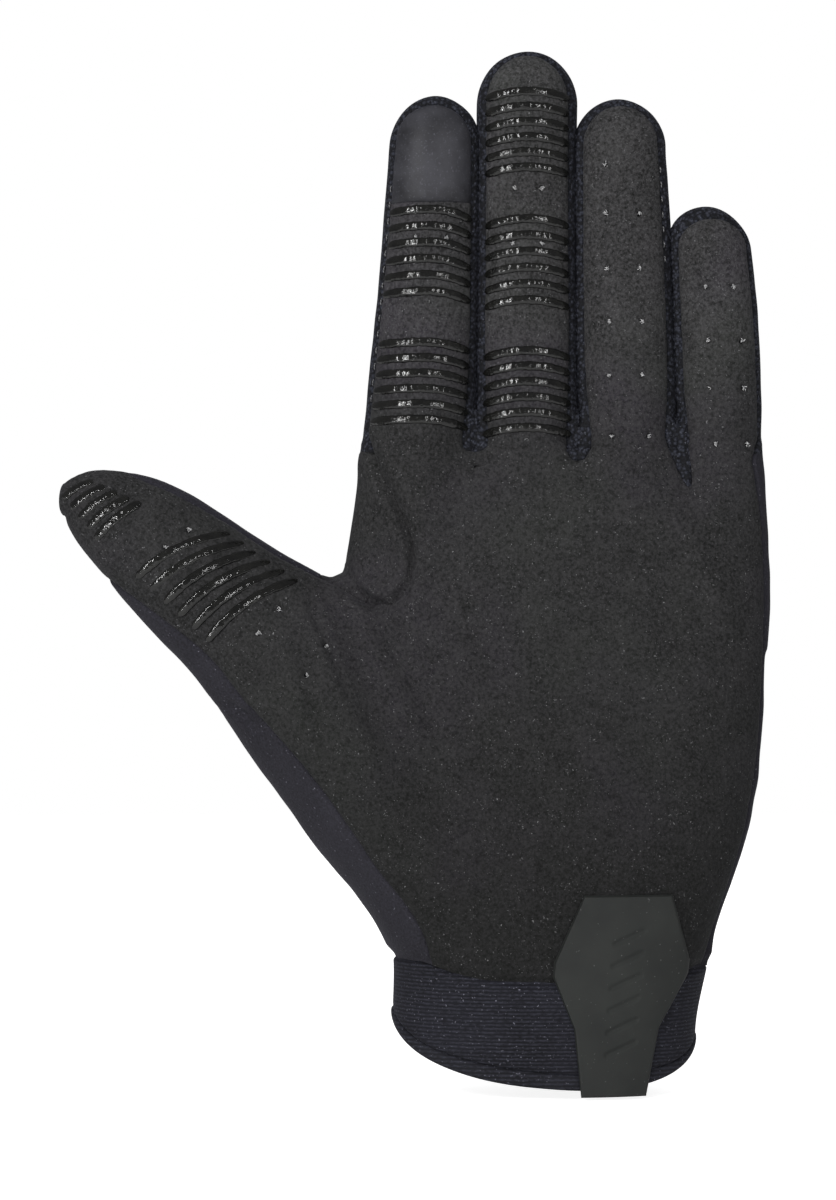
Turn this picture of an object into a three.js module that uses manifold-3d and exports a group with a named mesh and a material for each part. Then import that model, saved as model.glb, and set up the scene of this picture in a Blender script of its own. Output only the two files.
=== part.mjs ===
// A full-finger cycling glove for the left hand, in the shape it has when worn, as an assembly of
// separate cloth panels. Millimetres, +Z up along the fingers, +X towards the little finger, and the
// palm faces -Y. The origin is the centre of the wrist opening, at the level of the rim's lowest point.
//
// One outer and one inner form are lofted from the tables below. Their difference is the hollow cloth
// wall, and outlines drawn in the front view cut that wall into the panels that a glove is sewn from.

import * as THREE from 'three';
import { mergeVertices } from 'three/addons/utils/BufferGeometryUtils.js';
import Module from 'manifold-3d';

const wasm = await Module();
wasm.setup();

// Cloth and clearances
const clothWall = 1.2;
const hemWall = 2.2;
const seamGap = 0.35;
const trimGap = 0.3;
const gripThickness = 0.5;
const tabThickness = 1.2;

// Wrist and palm
const wristWidth = 70;
const wristDepth = 50;
const cuffHeight = 30;
const palmLength = 147.5;
const palmDepth = 34;
const palmHollow = 2;

// Fingers
const middleFingerX = -3.5;
const fingerGap = 0.6;
const fingerCurl = 4;
const webDepth = 7;
const fingerRootSink = 8;
const FINGERS = [
  { name: 'index', length: 80, rootWidth: 25.7, midWidth: 22.3, tipWidth: 19.2, tipRim: 2.2 },
  { name: 'middle', length: 90, rootWidth: 23.1, midWidth: 21.7, tipWidth: 21.7, tipRim: 0.9 },
  { name: 'ring', length: 79, rootWidth: 22, midWidth: 21.3, tipWidth: 19.2, tipRim: 1.3 },
  { name: 'little', length: 55, rootWidth: 19.4, midWidth: 19.4, tipWidth: 17.6, tipRim: 3 },
];
const tipRoundness = 1.12; // height of a fingertip's round, as a share of its half width
const fingerDepthAtRoot = 0.97; // share of the finger's width
const fingerDepthAtTip = 0.86;

// Thumb
const thumbReach = 111.5;
const thumbRise = 135;
const thumbWidth = 33.4;
const thumbDepth = 25;
const thumbForward = 9;

// Cuff
const rimRise = 13.5; // from its front to its sides
const rimTilt = 3; // how far its left side is above the level, and its right side below
const rimDipBack = 4;
const hemHeight = 4;
const hemNarrowing = 1.8;
const cuffLineSag = 5.5;
const cuffSagCentre = 0.23; // these three are shares of half wristWidth
const cuffSagReach = 1.03;
const cuffLineReach = 1.3;

// Panels
const edgeInset = 1.4;
const heelInset = 8;
const crotchInset = 1.2; // added to edgeInset between two fingers, at their crotch
const crotchInsetReach = 0.3; // share of the finger's length where it has run out
const fourchetteDepth = 3.5;
const gussetDepth = 8;
const gussetReach = 5;
const gussetUnderlap = 1.4; // how far its block runs on under the suede, which cuts it off
const thumbSplitStart = 0.7; // share of knuckleLeft where the panels' dividing surface turns to the thumb
const touchPatchStart = 0.69; // share of the index finger's length

// Pull tab
const tabWidth = 31;
const tabLength = 43;
const tabFootX = 15.6;
const tabLean = 3.4;

// Silicone grip strips and air holes
const gripWidth = 1.8;
const gripSpan = 0.85; // share of the finger's half width
const thumbGripBack = 0.9; // share of thumbForward
const airHoleWidth = 1.3;

const wristPower = 2.2; // of the superellipse sections: 2 is an ellipse, more is squarer
const palmPower = 2.4;

// Sections of the wrist: up is a share of cuffHeight, the sides of half wristWidth and the depths of
// half wristDepth
const WRIST_ROWS = [
  { up: 0, left: 0.985, right: 0.985, front: 0.97, back: 0.95 },
  { up: 0.6, left: 0.98, right: 1.015, front: 1.0, back: 0.97 },
];

// Sections of the palm: up is a share of the way from the cuff to the finger crotches, the sides of half the
// knuckle width, the depths of palmDepth, hollow of palmHollow, and flute says how far the section has
// taken the fingers' own rounds
const PALM_ROWS = [
  { up: 0, left: 0.715, right: 0.82, front: 0.71, back: 0.68, hollow: 0, flute: 0 },
  { up: 0.23, left: 0.93, right: 1.0, front: 0.665, back: 0.59, hollow: 0.4, flute: 0 },
  { up: 0.385, left: 1.01, right: 1.057, front: 0.6, back: 0.545, hollow: 0.9, flute: 0 },
  { up: 0.573, left: 1.06, right: 1.07, front: 0.535, back: 0.5, hollow: 1, flute: 0 },
  { up: 0.735, left: 1.065, right: 1.06, front: 0.475, back: 0.465, hollow: 0.5, flute: 0.08 },
  { up: 0.855, left: 1.03, right: 1.035, front: 0.42, back: 0.425, hollow: 0.1, flute: 0.4 },
  { up: 0.95, left: 1.01, right: 1.01, front: 0.375, back: 0.375, hollow: 0, flute: 0.85 },
  { up: 1, left: 1.0, right: 1.0, front: 0.35, back: 0.35, hollow: 0, flute: 1 },
];

// Sections of the thumb from inside the palm to its tip: out is a share of thumbReach, up of thumbRise,
// half of half thumbWidth, front and back of half thumbDepth, forward of thumbForward
const THUMB_ROWS = [
  { out: 0.17, up: 0.255, half: 0.72, front: 1.4, back: 1.3, forward: 0.2, twist: 0 },
  { out: 0.284, up: 0.424, half: 1.0, front: 1.48, back: 1.2, forward: 0.3, twist: 5 },
  { out: 0.398, up: 0.577, half: 1.15, front: 1.42, back: 1.1, forward: 0.42, twist: 10 },
  { out: 0.506, up: 0.731, half: 1.27, front: 1.2, back: 1.05, forward: 0.6, twist: 14 },
  { out: 0.624, up: 0.803, half: 1.01, front: 1.04, back: 0.98, forward: 0.75, twist: 20 },
  { out: 0.73, up: 0.878, half: 0.885, front: 0.95, back: 0.92, forward: 0.88, twist: 22 },
  { out: 0.817, up: 0.935, half: 0.76, front: 0.87, back: 0.85, forward: 0.97, twist: 22 },
  { out: 0.879, up: 0.97, half: 0.645, front: 0.76, back: 0.76, forward: 1.0, twist: 22 },
  { out: 0.933, up: 0.992, half: 0.48, front: 0.58, back: 0.58, forward: 1.0, twist: 22 },
  { out: 0.976, up: 1.002, half: 0.27, front: 0.34, back: 0.34, forward: 1.0, twist: 22 },
];

// Where the suede ends below the middle of a thumb section, as a share of the section's half width
const THUMB_SUEDE_ROWS = [
  { section: 1, low: 0.52 },
  { section: 2, low: 0.53 },
  { section: 3, low: 0.7 },
  { section: 4, low: 0.65 },
  { section: 5, low: 0.74 },
  { section: 6, low: 0.87 },
  { section: 7, low: 0.87 },
  { section: 8, low: 0.83 },
];

// The seam of the piece between thumb and index finger: right is a share of the knuckle half width from
// the palm's left edge, up is a share of palmLength
const GUSSET_ROWS = [
  { right: 0.07, up: 0.975 },
  { right: 0.12, up: 0.938 },
  { right: 0.18, up: 0.908 },
  { right: 0.226, up: 0.875 },
  { right: 0.26, up: 0.842 },
  { right: 0.26, up: 0.815 },
  { right: 0.235, up: 0.785 },
  { right: 0.166, up: 0.757 },
  { right: 0.096, up: 0.752 },
  { right: 0.027, up: 0.757 },
  { right: -0.06, up: 0.772 },
];

// Grip strips on a finger: from and to are shares of its length, the drops are in shares of gripWidth
const FINGER_GRIPS = [
  { finger: 0, group: 'far', count: 6, from: 0.668, to: 0.435, leftDrop: 0.3, rightDrop: 1.1 },
  { finger: 0, group: 'near', count: 6, from: 0.29, to: 0.07, leftDrop: 0.2, rightDrop: 1.0 },
  { finger: 1, group: 'tip', count: 6, from: 0.895, to: 0.7, leftDrop: 0.9, rightDrop: 0.9 },
  { finger: 1, group: 'far', count: 6, from: 0.57, to: 0.365, leftDrop: 0.8, rightDrop: 0.8 },
  { finger: 1, group: 'near', count: 6, from: 0.237, to: 0.042, leftDrop: 0.8, rightDrop: 0.8 },
];

// Grip strips on the thumb, from the strip nearest the tip to the last: out and up as in THUMB_ROWS
const THUMB_GRIPS = [
  {
    group: 'far', count: 5, bulge: 0.3,
    firstLow: { out: 0.978, up: 1.0 }, firstHigh: { out: 0.915, up: 1.029 },
    lastLow: { out: 0.909, up: 0.931 }, lastHigh: { out: 0.817, up: 0.993 },
  },
  {
    group: 'near', count: 6, bulge: 1.0,
    firstLow: { out: 0.825, up: 0.866 }, firstHigh: { out: 0.635, up: 0.942 },
    lastLow: { out: 0.682, up: 0.76 }, lastHigh: { out: 0.5, up: 0.864 },
  },
];

// Rows of two air holes on a finger: up is a share of its length, left and right of its half width
const FINGER_AIR_HOLES = [
  { finger: 0, up: 0.589, left: -0.3, right: 0.37 },
  { finger: 0, up: 0.428, left: -0.37, right: 0.24 },
  { finger: 1, up: 0.647, left: -0.29, right: 0.3 },
  { finger: 1, up: 0.508, left: -0.32, right: 0.32 },
  { finger: 2, up: 0.806, left: -0.38, right: 0.36 },
  { finger: 2, up: 0.665, left: -0.38, right: 0.37 },
  { finger: 2, up: 0.507, left: -0.38, right: 0.34 },
  { finger: 2, up: 0.354, left: -0.36, right: 0.36 },
  { finger: 2, up: 0.2, left: -0.38, right: 0.32 },
  { finger: 2, up: 0.024, left: -0.36, right: 0.44 },
  { finger: 3, up: 0.655, left: -0.26, right: 0.44 },
  { finger: 3, up: 0.43, left: -0.27, right: 0.56 },
  { finger: 3, up: 0.233, left: -0.25, right: 0.56 },
  { finger: 3, up: 0.0, left: -0.16, right: 0.62 },
];
const THUMB_AIR_HOLES = [
  { out: 0.765, up: 0.918 },
  { out: 0.718, up: 0.948 },
  { out: 0.577, up: 0.775 },
  { out: 0.535, up: 0.815 },
  { out: 0.478, up: 0.705 },
  { out: 0.44, up: 0.753 },
];

// Sections of the pull tab: down and width are shares of tabLength and tabWidth, lean of tabLean
const TAB_ROWS = [
  { down: 0, width: 0.645, lean: 1 },
  { down: 0.33, width: 1, lean: 0.6 },
  { down: 0.4, width: 1, lean: 0.5 },
  { down: 0.66, width: 0.624, lean: 0.2 },
  { down: 1, width: 0.477, lean: 0 },
];

// Notches of the suede between neighbouring fingers, from the index finger on, in millimetres
const NOTCHES = [
  { depth: 1, width: 2.4, lean: -0.8 },
  { depth: 3, width: 2.4, lean: -0.6 },
  { depth: 9.5, width: 1.8, lean: 2.6 },
];

const notchShoulder = 0.35; // share of the notch's depth and lean where its sides turn in
const notchPoint = 0.3; // share of the notch's width at its foot

// Facets
const stationsPerFinger = 3;
const fingerSides = 10;
const thumbSides = 12;
const tipAngles = [30, 60];
const curveSteps = 8;
const curlSteps = 6;
const holeSides = 4;
const bandSteps = [-1, 0, 1];
const PANEL_EDGE_HEIGHTS = [0.03, 0.15, 0.35, 0.7, 1]; // shares of a finger's straight length
const PANEL_TIP_ANGLES = [150, 120, 90, 60, 30];
const FOURCHETTE_HEIGHTS = [0, 0.25, 0.5, 1];

const farAway = 200;
const bendReach = 3; // the bent sheets run this many times half wristDepth to the front and back
const thinnest = 0.2;
const weldDistance = 1e-4;

const MATERIALS = {
  suede: { color: 0x2c2c2d, roughness: 0.95, metalness: 0 },
  touchLeather: { color: 0x303034, roughness: 0.6, metalness: 0 },
  knit: { color: 0x292930, roughness: 0.9, metalness: 0 },
  meshKnit: { color: 0x1b1c24, roughness: 0.95, metalness: 0 },
  cuffKnit: { color: 0x202128, roughness: 0.95, metalness: 0 },
  hemKnit: { color: 0x1c1c20, roughness: 0.85, metalness: 0 },
  rubber: { color: 0x2b2c2d, roughness: 0.7, metalness: 0 },
  silicone: { color: 0x141414, roughness: 0.15, metalness: 0 },
};

const mix = (a, b, t) => a + (b - a) * t;
const radians = THREE.MathUtils.degToRad;

// Finger measures at a height above the crotches

function fingerHalfWidth(finger, height) {
  const share = THREE.MathUtils.clamp(height / finger.length, 0, 1);
  const atRoot = finger.rootWidth * (1 - share) * (1 - 2 * share);
  const atMiddle = finger.midWidth * 4 * share * (1 - share);
  const atTip = finger.tipWidth * share * (2 * share - 1);
  return (atRoot + atMiddle + atTip) / 2;
}

function fingerHalfDepth(finger, height) {
  const share = THREE.MathUtils.clamp(height / finger.length, 0, 1);
  return fingerHalfWidth(finger, height) * mix(fingerDepthAtRoot, fingerDepthAtTip, share);
}

function fingerCentreX(number, height) {
  const middle = 1;
  let x = middleFingerX;
  const step = number < middle ? -1 : 1;
  for (let n = middle; n !== number; n += step) {
    const next = n + step;
    x += step * (fingerHalfWidth(FINGERS[n], height) + fingerGap + fingerHalfWidth(FINGERS[next], height));
  }
  return x;
}

const longestFinger = Math.max(...FINGERS.map((finger) => finger.length));

function fingerCentreY(height) {
  return -fingerCurl * (Math.max(0, height) / longestFinger) ** 2;
}

// The height where a finger's straight sides end and its round tip starts
function tipStart(finger) {
  return finger.length - (finger.tipWidth / 2) * tipRoundness;
}

const knuckleLeft = fingerCentreX(0, 0) - FINGERS[0].rootWidth / 2;
const knuckleRight = fingerCentreX(3, 0) + FINGERS[3].rootWidth / 2;
const knuckleHalf = (knuckleRight - knuckleLeft) / 2;
const knuckleCentre = (knuckleLeft + knuckleRight) / 2;

// Solids and meshes

function solidFrom(geometry) {
  const bare = new THREE.BufferGeometry();
  bare.setAttribute('position', geometry.getAttribute('position'));
  if (geometry.index) bare.setIndex(geometry.index);
  const merged = mergeVertices(bare, weldDistance);
  return new wasm.Manifold(new wasm.Mesh({
    numProp: 3,
    vertProperties: merged.attributes.position.array,
    triVerts: new Uint32Array(merged.index.array),
  }));
}

function unite(solids) {
  return solids.reduce((all, solid) => all.add(solid));
}

// A cut can leave crumbs beside the panel it makes: the panel is the largest body
function largestBody(solid) {
  const bodies = solid.decompose();
  return bodies.reduce((best, body) => (body.volume() > best.volume() ? body : best));
}

const glove = new THREE.Group();

function addPiece(name, solid, materialName) {
  const cut = largestBody(solid).getMesh();
  const geometry = new THREE.BufferGeometry();
  geometry.setAttribute('position', new THREE.BufferAttribute(new Float32Array(cut.vertProperties), 3));
  geometry.setIndex(new THREE.BufferAttribute(new Uint32Array(cut.triVerts), 1));
  geometry.computeVertexNormals();
  const mesh = new THREE.Mesh(geometry, new THREE.MeshStandardMaterial(MATERIALS[materialName]));
  mesh.name = name;
  glove.add(mesh);
}

// A closed skin over rings of equal count that run along the axis, each anticlockwise seen from its far
// end. A ring holds its points in space and the same points in its own plane, for the end caps.
function loft(rings, tip = null) {
  const positions = rings.flatMap((ring) => ring.points.flatMap((p) => [p.x, p.y, p.z]));
  const count = rings[0].points.length;
  const index = [];
  for (let r = 0; r + 1 < rings.length; r += 1) {
    for (let j = 0; j < count; j += 1) {
      const next = (j + 1) % count;
      const a = r * count + j;
      const b = r * count + next;
      index.push(a, b, b + count, a, b + count, a + count);
    }
  }
  for (const [c, b, a] of THREE.ShapeUtils.triangulateShape(rings[0].flat, [])) {
    index.push(a, b, c);
  }
  const last = (rings.length - 1) * count;
  if (tip) {
    positions.push(tip.x, tip.y, tip.z);
    for (let j = 0; j < count; j += 1) {
      index.push(last + j, last + ((j + 1) % count), rings.length * count);
    }
  } else {
    for (const [a, b, c] of THREE.ShapeUtils.triangulateShape(rings.at(-1).flat, [])) {
      index.push(last + a, last + b, last + c);
    }
  }
  const geometry = new THREE.BufferGeometry();
  geometry.setAttribute('position', new THREE.Float32BufferAttribute(positions, 3));
  geometry.setIndex(index);
  return solidFrom(geometry);
}

function levelRing(flat, z) {
  return { flat, points: flat.map((p) => new THREE.Vector3(p.x, p.y, z)) };
}

// An outline in the front view, extruded from front to back
function frontPrism(outline, frontY, backY) {
  const shape = new THREE.Shape(outline);
  const geometry = new THREE.ExtrudeGeometry(shape, { depth: backY - frontY, bevelEnabled: false });
  geometry.rotateX(Math.PI / 2);
  geometry.translate(0, backY, 0);
  return solidFrom(geometry);
}

// A closed outline moved outwards by a small distance
function grownOutline(outline, distance) {
  const turn = THREE.ShapeUtils.isClockWise(outline) ? -1 : 1;
  return outline.map((point, i) => {
    const before = outline[(i + outline.length - 1) % outline.length];
    const after = outline[(i + 1) % outline.length];
    const into = point.clone().sub(before).normalize();
    const outOf = after.clone().sub(point).normalize();
    const along = into.clone().add(outOf).normalize();
    const stretch = Math.max(0.5, along.dot(into));
    return new THREE.Vector2(
      point.x + (along.y * turn * distance) / stretch,
      point.y - (along.x * turn * distance) / stretch,
    );
  });
}

// The hand's form, grown by a distance, or shrunk by it for the inside of the cloth

function fingerTube(number, grow) {
  const finger = FINGERS[number];
  const straight = tipStart(finger);
  const heights = [-fingerRootSink];
  for (let n = 0; n <= stationsPerFinger; n += 1) heights.push((straight * n) / stationsPerFinger);
  const ringAt = (height, share, lift) => {
    const centreX = fingerCentreX(number, height);
    const centreY = fingerCentreY(height);
    const halfX = (fingerHalfWidth(finger, height) + grow) * share;
    const halfY = (fingerHalfDepth(finger, height) + grow) * share;
    const flat = [];
    for (let j = 0; j < fingerSides; j += 1) {
      const angle = Math.PI + (2 * Math.PI * j) / fingerSides;
      flat.push(new THREE.Vector2(centreX + halfX * Math.cos(angle), centreY + halfY * Math.sin(angle)));
    }
    return levelRing(flat, palmLength + height + lift);
  };
  const rings = heights.map((height) => ringAt(height, 1, 0));
  for (const angle of tipAngles) {
    const rise = (finger.length - straight + grow) * Math.sin(radians(angle));
    rings.push(ringAt(straight, Math.cos(radians(angle)), rise));
  }
  const tip = new THREE.Vector3(
    fingerCentreX(number, straight),
    fingerCentreY(straight),
    palmLength + finger.length + grow,
  );
  return loft(rings, tip);
}

function superellipse(position, power) {
  return (1 - Math.abs(position) ** power) ** (1 / power);
}

// How far the rounds of the finger roots stand from the middle plane at a place across the knuckles
function fluteDepth(x, grow) {
  let depth = 0;
  FINGERS.forEach((finger, number) => {
    const across = (x - fingerCentreX(number, 0)) / (finger.rootWidth / 2 + grow);
    if (Math.abs(across) < 1) {
      depth = Math.max(depth, (fingerHalfDepth(finger, 0) + grow) * Math.sqrt(1 - across * across));
    }
  });
  const isOuterEdge = x < fingerCentreX(0, 0) || x > fingerCentreX(3, 0);
  return isOuterEdge ? depth : Math.max(depth, webDepth + grow);
}

// Places across the palm, from -1 at its left edge to 1 at its right, set by the fingers' own rounds
const PALM_PLACES = FINGERS.flatMap((finger, number) => (
  [180, 120, 60, 0].map((angle) => {
    const x = fingerCentreX(number, 0) + (finger.rootWidth / 2) * Math.cos(radians(angle));
    return (x - knuckleCentre) / knuckleHalf;
  })
));
PALM_PLACES[0] = -1;
PALM_PLACES[PALM_PLACES.length - 1] = 1;

function palmRing(row, z, grow) {
  const middle = (row.leftX + row.rightX) / 2;
  const half = (row.rightX - row.leftX) / 2 + grow;
  const yAt = (place, depth, hollow) => {
    const plain = Math.max(0, depth + grow) * superellipse(place, row.power);
    const dent = palmHollow * hollow * (1 - place * place) ** 2;
    const fluted = Math.abs(place) < 1 ? fluteDepth(knuckleCentre + place * (knuckleHalf + grow), grow) : 0;
    return mix(plain - dent, fluted, row.flute);
  };
  const front = PALM_PLACES.map((place) => (
    new THREE.Vector2(middle + place * half, -yAt(place, row.front, row.hollow))
  ));
  const back = PALM_PLACES.slice(1, -1).map((place) => (
    new THREE.Vector2(middle + place * half, yAt(place, row.back, 0))
  ));
  return levelRing([...front, ...back.reverse()], z);
}

function palmBody(grow) {
  const rings = [];
  for (const row of WRIST_ROWS) {
    const sizes = {
      leftX: -row.left * wristWidth / 2,
      rightX: row.right * wristWidth / 2,
      front: row.front * wristDepth / 2,
      back: row.back * wristDepth / 2,
      hollow: 0,
      flute: 0,
      power: wristPower,
    };
    rings.push(palmRing(sizes, row.up * cuffHeight, grow));
  }
  for (const row of PALM_ROWS) {
    const centre = knuckleCentre * row.up;
    const sizes = {
      leftX: centre - row.left * knuckleHalf,
      rightX: centre + row.right * knuckleHalf,
      front: row.front * palmDepth,
      back: row.back * palmDepth,
      hollow: row.hollow,
      flute: row.flute,
      power: palmPower,
    };
    rings.push(palmRing(sizes, mix(cuffHeight, palmLength, row.up), grow));
  }
  // The inside runs out through the rim, and stops a wall short of the crotches
  if (grow < 0) {
    const first = rings[0].flat;
    rings.unshift(levelRing(first, -clothWall * 2));
    rings.push(levelRing(rings.pop().flat, palmLength + grow));
  }
  return loft(rings);
}

function thumbPoint(row) {
  return new THREE.Vector3(-row.out * thumbReach, -row.forward * thumbForward, row.up * thumbRise);
}

const THUMB_TIP = new THREE.Vector3(-thumbReach, -thumbForward, thumbRise);

// The direction of the thumb's line at a row, and the way across it in the front view
function thumbFrame(number) {
  const points = [...THUMB_ROWS.map(thumbPoint), THUMB_TIP];
  const before = points[Math.max(0, number - 1)];
  const along = points[number + 1].clone().sub(before).setY(0).normalize();
  const across = new THREE.Vector3(along.z, 0, -along.x);
  return { along, across };
}

function thumbTube(grow) {
  const rings = THUMB_ROWS.map((row, number) => {
    const { across } = thumbFrame(number);
    const back = new THREE.Vector3(0, 1, 0);
    const turn = radians(row.twist);
    const wide = across.clone().multiplyScalar(Math.cos(turn)).addScaledVector(back, Math.sin(turn));
    const deep = back.clone().multiplyScalar(Math.cos(turn)).addScaledVector(across, -Math.sin(turn));
    // The twist narrows the front view, so the half width is set to fill it again
    const widen = 1 / Math.hypot(Math.cos(turn), Math.sin(turn) * (thumbDepth / thumbWidth));
    const half = Math.max(thinnest, (row.half * thumbWidth * widen) / 2 + grow);
    const centre = thumbPoint(row);
    const flat = [];
    const points = [];
    for (let j = 0; j < thumbSides; j += 1) {
      const angle = (2 * Math.PI * j) / thumbSides;
      const share = Math.sin(angle) < 0 ? row.front : row.back;
      const depth = Math.max(thinnest, (share * thumbDepth) / 2 + grow);
      const local = new THREE.Vector2(half * Math.cos(angle), depth * Math.sin(angle));
      flat.push(local);
      points.push(centre.clone().addScaledVector(wide, local.x).addScaledVector(deep, local.y));
    }
    return { flat, points };
  });
  const { along } = thumbFrame(THUMB_ROWS.length - 1);
  const tip = THUMB_TIP.clone().addScaledVector(along, grow);
  return loft(rings, tip);
}

function handForm(grow) {
  const fingers = FINGERS.map((finger, number) => fingerTube(number, grow));
  return unite([palmBody(grow), thumbTube(grow), ...fingers]);
}

const outerForm = handForm(0);
const clothShell = outerForm.subtract(handForm(-clothWall));
const hemShell = outerForm.subtract(handForm(-hemWall));

// The rim, the hem's top and the cuff's top

const wristHalf = wristWidth / 2;
const AXES_YZX = new THREE.Matrix4().makeBasis(
  new THREE.Vector3(0, 1, 0),
  new THREE.Vector3(0, 0, 1),
  new THREE.Vector3(1, 0, 0),
);

// Everything below a sheet that is bent along the wrist's middle plane and tilted sideways
function belowSheet(frontZ, sideZ, backZ) {
  const depth = (wristDepth / 2) * bendReach;
  const profile = new THREE.Shape([
    new THREE.Vector2(-depth, -farAway),
    new THREE.Vector2(depth, -farAway),
    new THREE.Vector2(depth, mix(sideZ, backZ, bendReach)),
    new THREE.Vector2(0, sideZ),
    new THREE.Vector2(-depth, mix(sideZ, frontZ, bendReach)),
  ]);
  const geometry = new THREE.ExtrudeGeometry(profile, { depth: wristWidth * 2, bevelEnabled: false });
  geometry.applyMatrix4(AXES_YZX);
  geometry.translate(-wristWidth, 0, 0);
  const fall = -rimTilt / wristHalf;
  // The tilt moves the rim's lowest point sideways and down: this brings it back to the level of the origin
  const raise = (rimTilt * rimTilt) / (2 * rimRise);
  geometry.applyMatrix4(new THREE.Matrix4().set(1, 0, 0, 0, 0, 1, 0, 0, fall, 0, 1, raise, 0, 0, 0, 1));
  return solidFrom(geometry);
}

const belowRim = () => belowSheet(0, rimRise, rimRise - rimDipBack);

function belowHemTop(gap) {
  const sideZ = rimRise + hemHeight - hemNarrowing + gap;
  return belowSheet(hemHeight + gap, sideZ, rimRise - rimDipBack + hemHeight + gap);
}

function cuffLine(x) {
  const share = (x - wristHalf * cuffSagCentre) / (wristHalf * cuffSagReach);
  return cuffHeight - cuffLineSag * Math.max(0, 1 - share * share);
}

function belowCuffLine(gap) {
  const outline = [new THREE.Vector2(-farAway, -farAway), new THREE.Vector2(farAway, -farAway)];
  outline.push(new THREE.Vector2(farAway, cuffHeight + gap));
  for (let n = 0; n <= curveSteps; n += 1) {
    const x = wristHalf * cuffLineReach * Math.cos((Math.PI * n) / curveSteps);
    outline.push(new THREE.Vector2(x, cuffLine(x) + gap));
  }
  outline.push(new THREE.Vector2(-farAway, cuffHeight + gap));
  return frontPrism(outline, -farAway, farAway);
}

// Everything in front of the surface that runs through the middle of the fingers and of the thumb
function frontSide(lift) {
  const profile = [new THREE.Vector2(-farAway, farAway * 2), new THREE.Vector2(-farAway, -farAway)];
  profile.push(new THREE.Vector2(lift, -farAway));
  for (let n = 0; n <= curlSteps; n += 1) {
    const height = (longestFinger * n) / curlSteps;
    profile.push(new THREE.Vector2(fingerCentreY(height) + lift, palmLength + height));
  }
  profile.push(new THREE.Vector2(fingerCentreY(longestFinger) + lift, farAway * 2));
  const wide = { depth: farAway * 2, bevelEnabled: false };
  const fingers = new THREE.ExtrudeGeometry(new THREE.Shape(profile), wide);
  fingers.applyMatrix4(AXES_YZX);
  fingers.translate(-farAway, 0, 0);

  const plan = [new THREE.Vector2(-farAway, -farAway), new THREE.Vector2(farAway, -farAway)];
  plan.push(new THREE.Vector2(farAway, lift), new THREE.Vector2(knuckleLeft * thumbSplitStart, lift));
  for (const row of THUMB_ROWS.slice(3)) {
    plan.push(new THREE.Vector2(-row.out * thumbReach, -row.forward * thumbForward + lift));
  }
  plan.push(new THREE.Vector2(-farAway, -thumbForward + lift));
  const tall = { depth: farAway * 3, bevelEnabled: false };
  const thumb = new THREE.ExtrudeGeometry(new THREE.Shape(plan), tall);
  thumb.translate(0, 0, -farAway);
  return solidFrom(fingers).intersect(solidFrom(thumb));
}

// Outlines of the panels in the front view

function fingerEdge(number, height, side) {
  const finger = FINGERS[number];
  const isOuterSide = (number === 0 && side < 0) || (number === FINGERS.length - 1 && side > 0);
  const fade = isOuterSide ? 0 : Math.max(0, 1 - Math.max(0, height) / (crotchInsetReach * finger.length));
  const half = fingerHalfWidth(finger, height) - edgeInset - crotchInset * fade * fade;
  return new THREE.Vector2(fingerCentreX(number, height) + side * half, palmLength + height);
}

function fingerOutline(number) {
  const finger = FINGERS[number];
  const straight = tipStart(finger);
  const heights = PANEL_EDGE_HEIGHTS.map((share) => share * straight);
  const half = fingerHalfWidth(finger, straight) - edgeInset;
  const left = heights.map((height) => fingerEdge(number, height, -1));
  const right = heights.map((height) => fingerEdge(number, height, 1)).reverse();
  const tip = PANEL_TIP_ANGLES.map((angle) => new THREE.Vector2(
    fingerCentreX(number, straight) + half * Math.cos(radians(angle)),
    palmLength + straight + (finger.length - straight - finger.tipRim) * Math.sin(radians(angle)),
  ));
  return [...left, ...tip, ...right];
}

// The foot of the notch between a finger and the next one
function notchFoot(left) {
  const notch = NOTCHES[left];
  const high = palmLength - notch.depth * notchShoulder;
  const low = palmLength - notch.depth;
  const centre = (fingerEdge(left, 0, 1).x + fingerEdge(left + 1, 0, -1).x) / 2;
  const foot = centre + notch.lean;
  const shoulder = mix(centre, foot, notchShoulder);
  return [
    new THREE.Vector2(shoulder - notch.width / 2, high),
    new THREE.Vector2(foot - notch.width * notchPoint, low),
    new THREE.Vector2(foot + notch.width * notchPoint, low),
    new THREE.Vector2(shoulder + notch.width / 2, high),
  ];
}

function palmEdge(side, up) {
  const next = Math.max(1, PALM_ROWS.findIndex((row) => row.up >= up));
  const high = PALM_ROWS[next];
  const low = PALM_ROWS[next - 1];
  const share = mix(low[side], high[side], (up - low.up) / (high.up - low.up));
  const sign = side === 'left' ? -1 : 1;
  return knuckleCentre * up + sign * share * knuckleHalf;
}

// A point of a thumb section, moved across it in the front view
function acrossThumb(number, reach) {
  const point = thumbPoint(THUMB_ROWS[number]).addScaledVector(thumbFrame(number).across, reach);
  return new THREE.Vector2(point.x, point.z);
}

const thumbHalf = (number) => (THUMB_ROWS[number].half * thumbWidth) / 2;

const gussetSeam = GUSSET_ROWS.map((row) => (
  new THREE.Vector2(knuckleLeft + row.right * knuckleHalf, row.up * palmLength)
));

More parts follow.
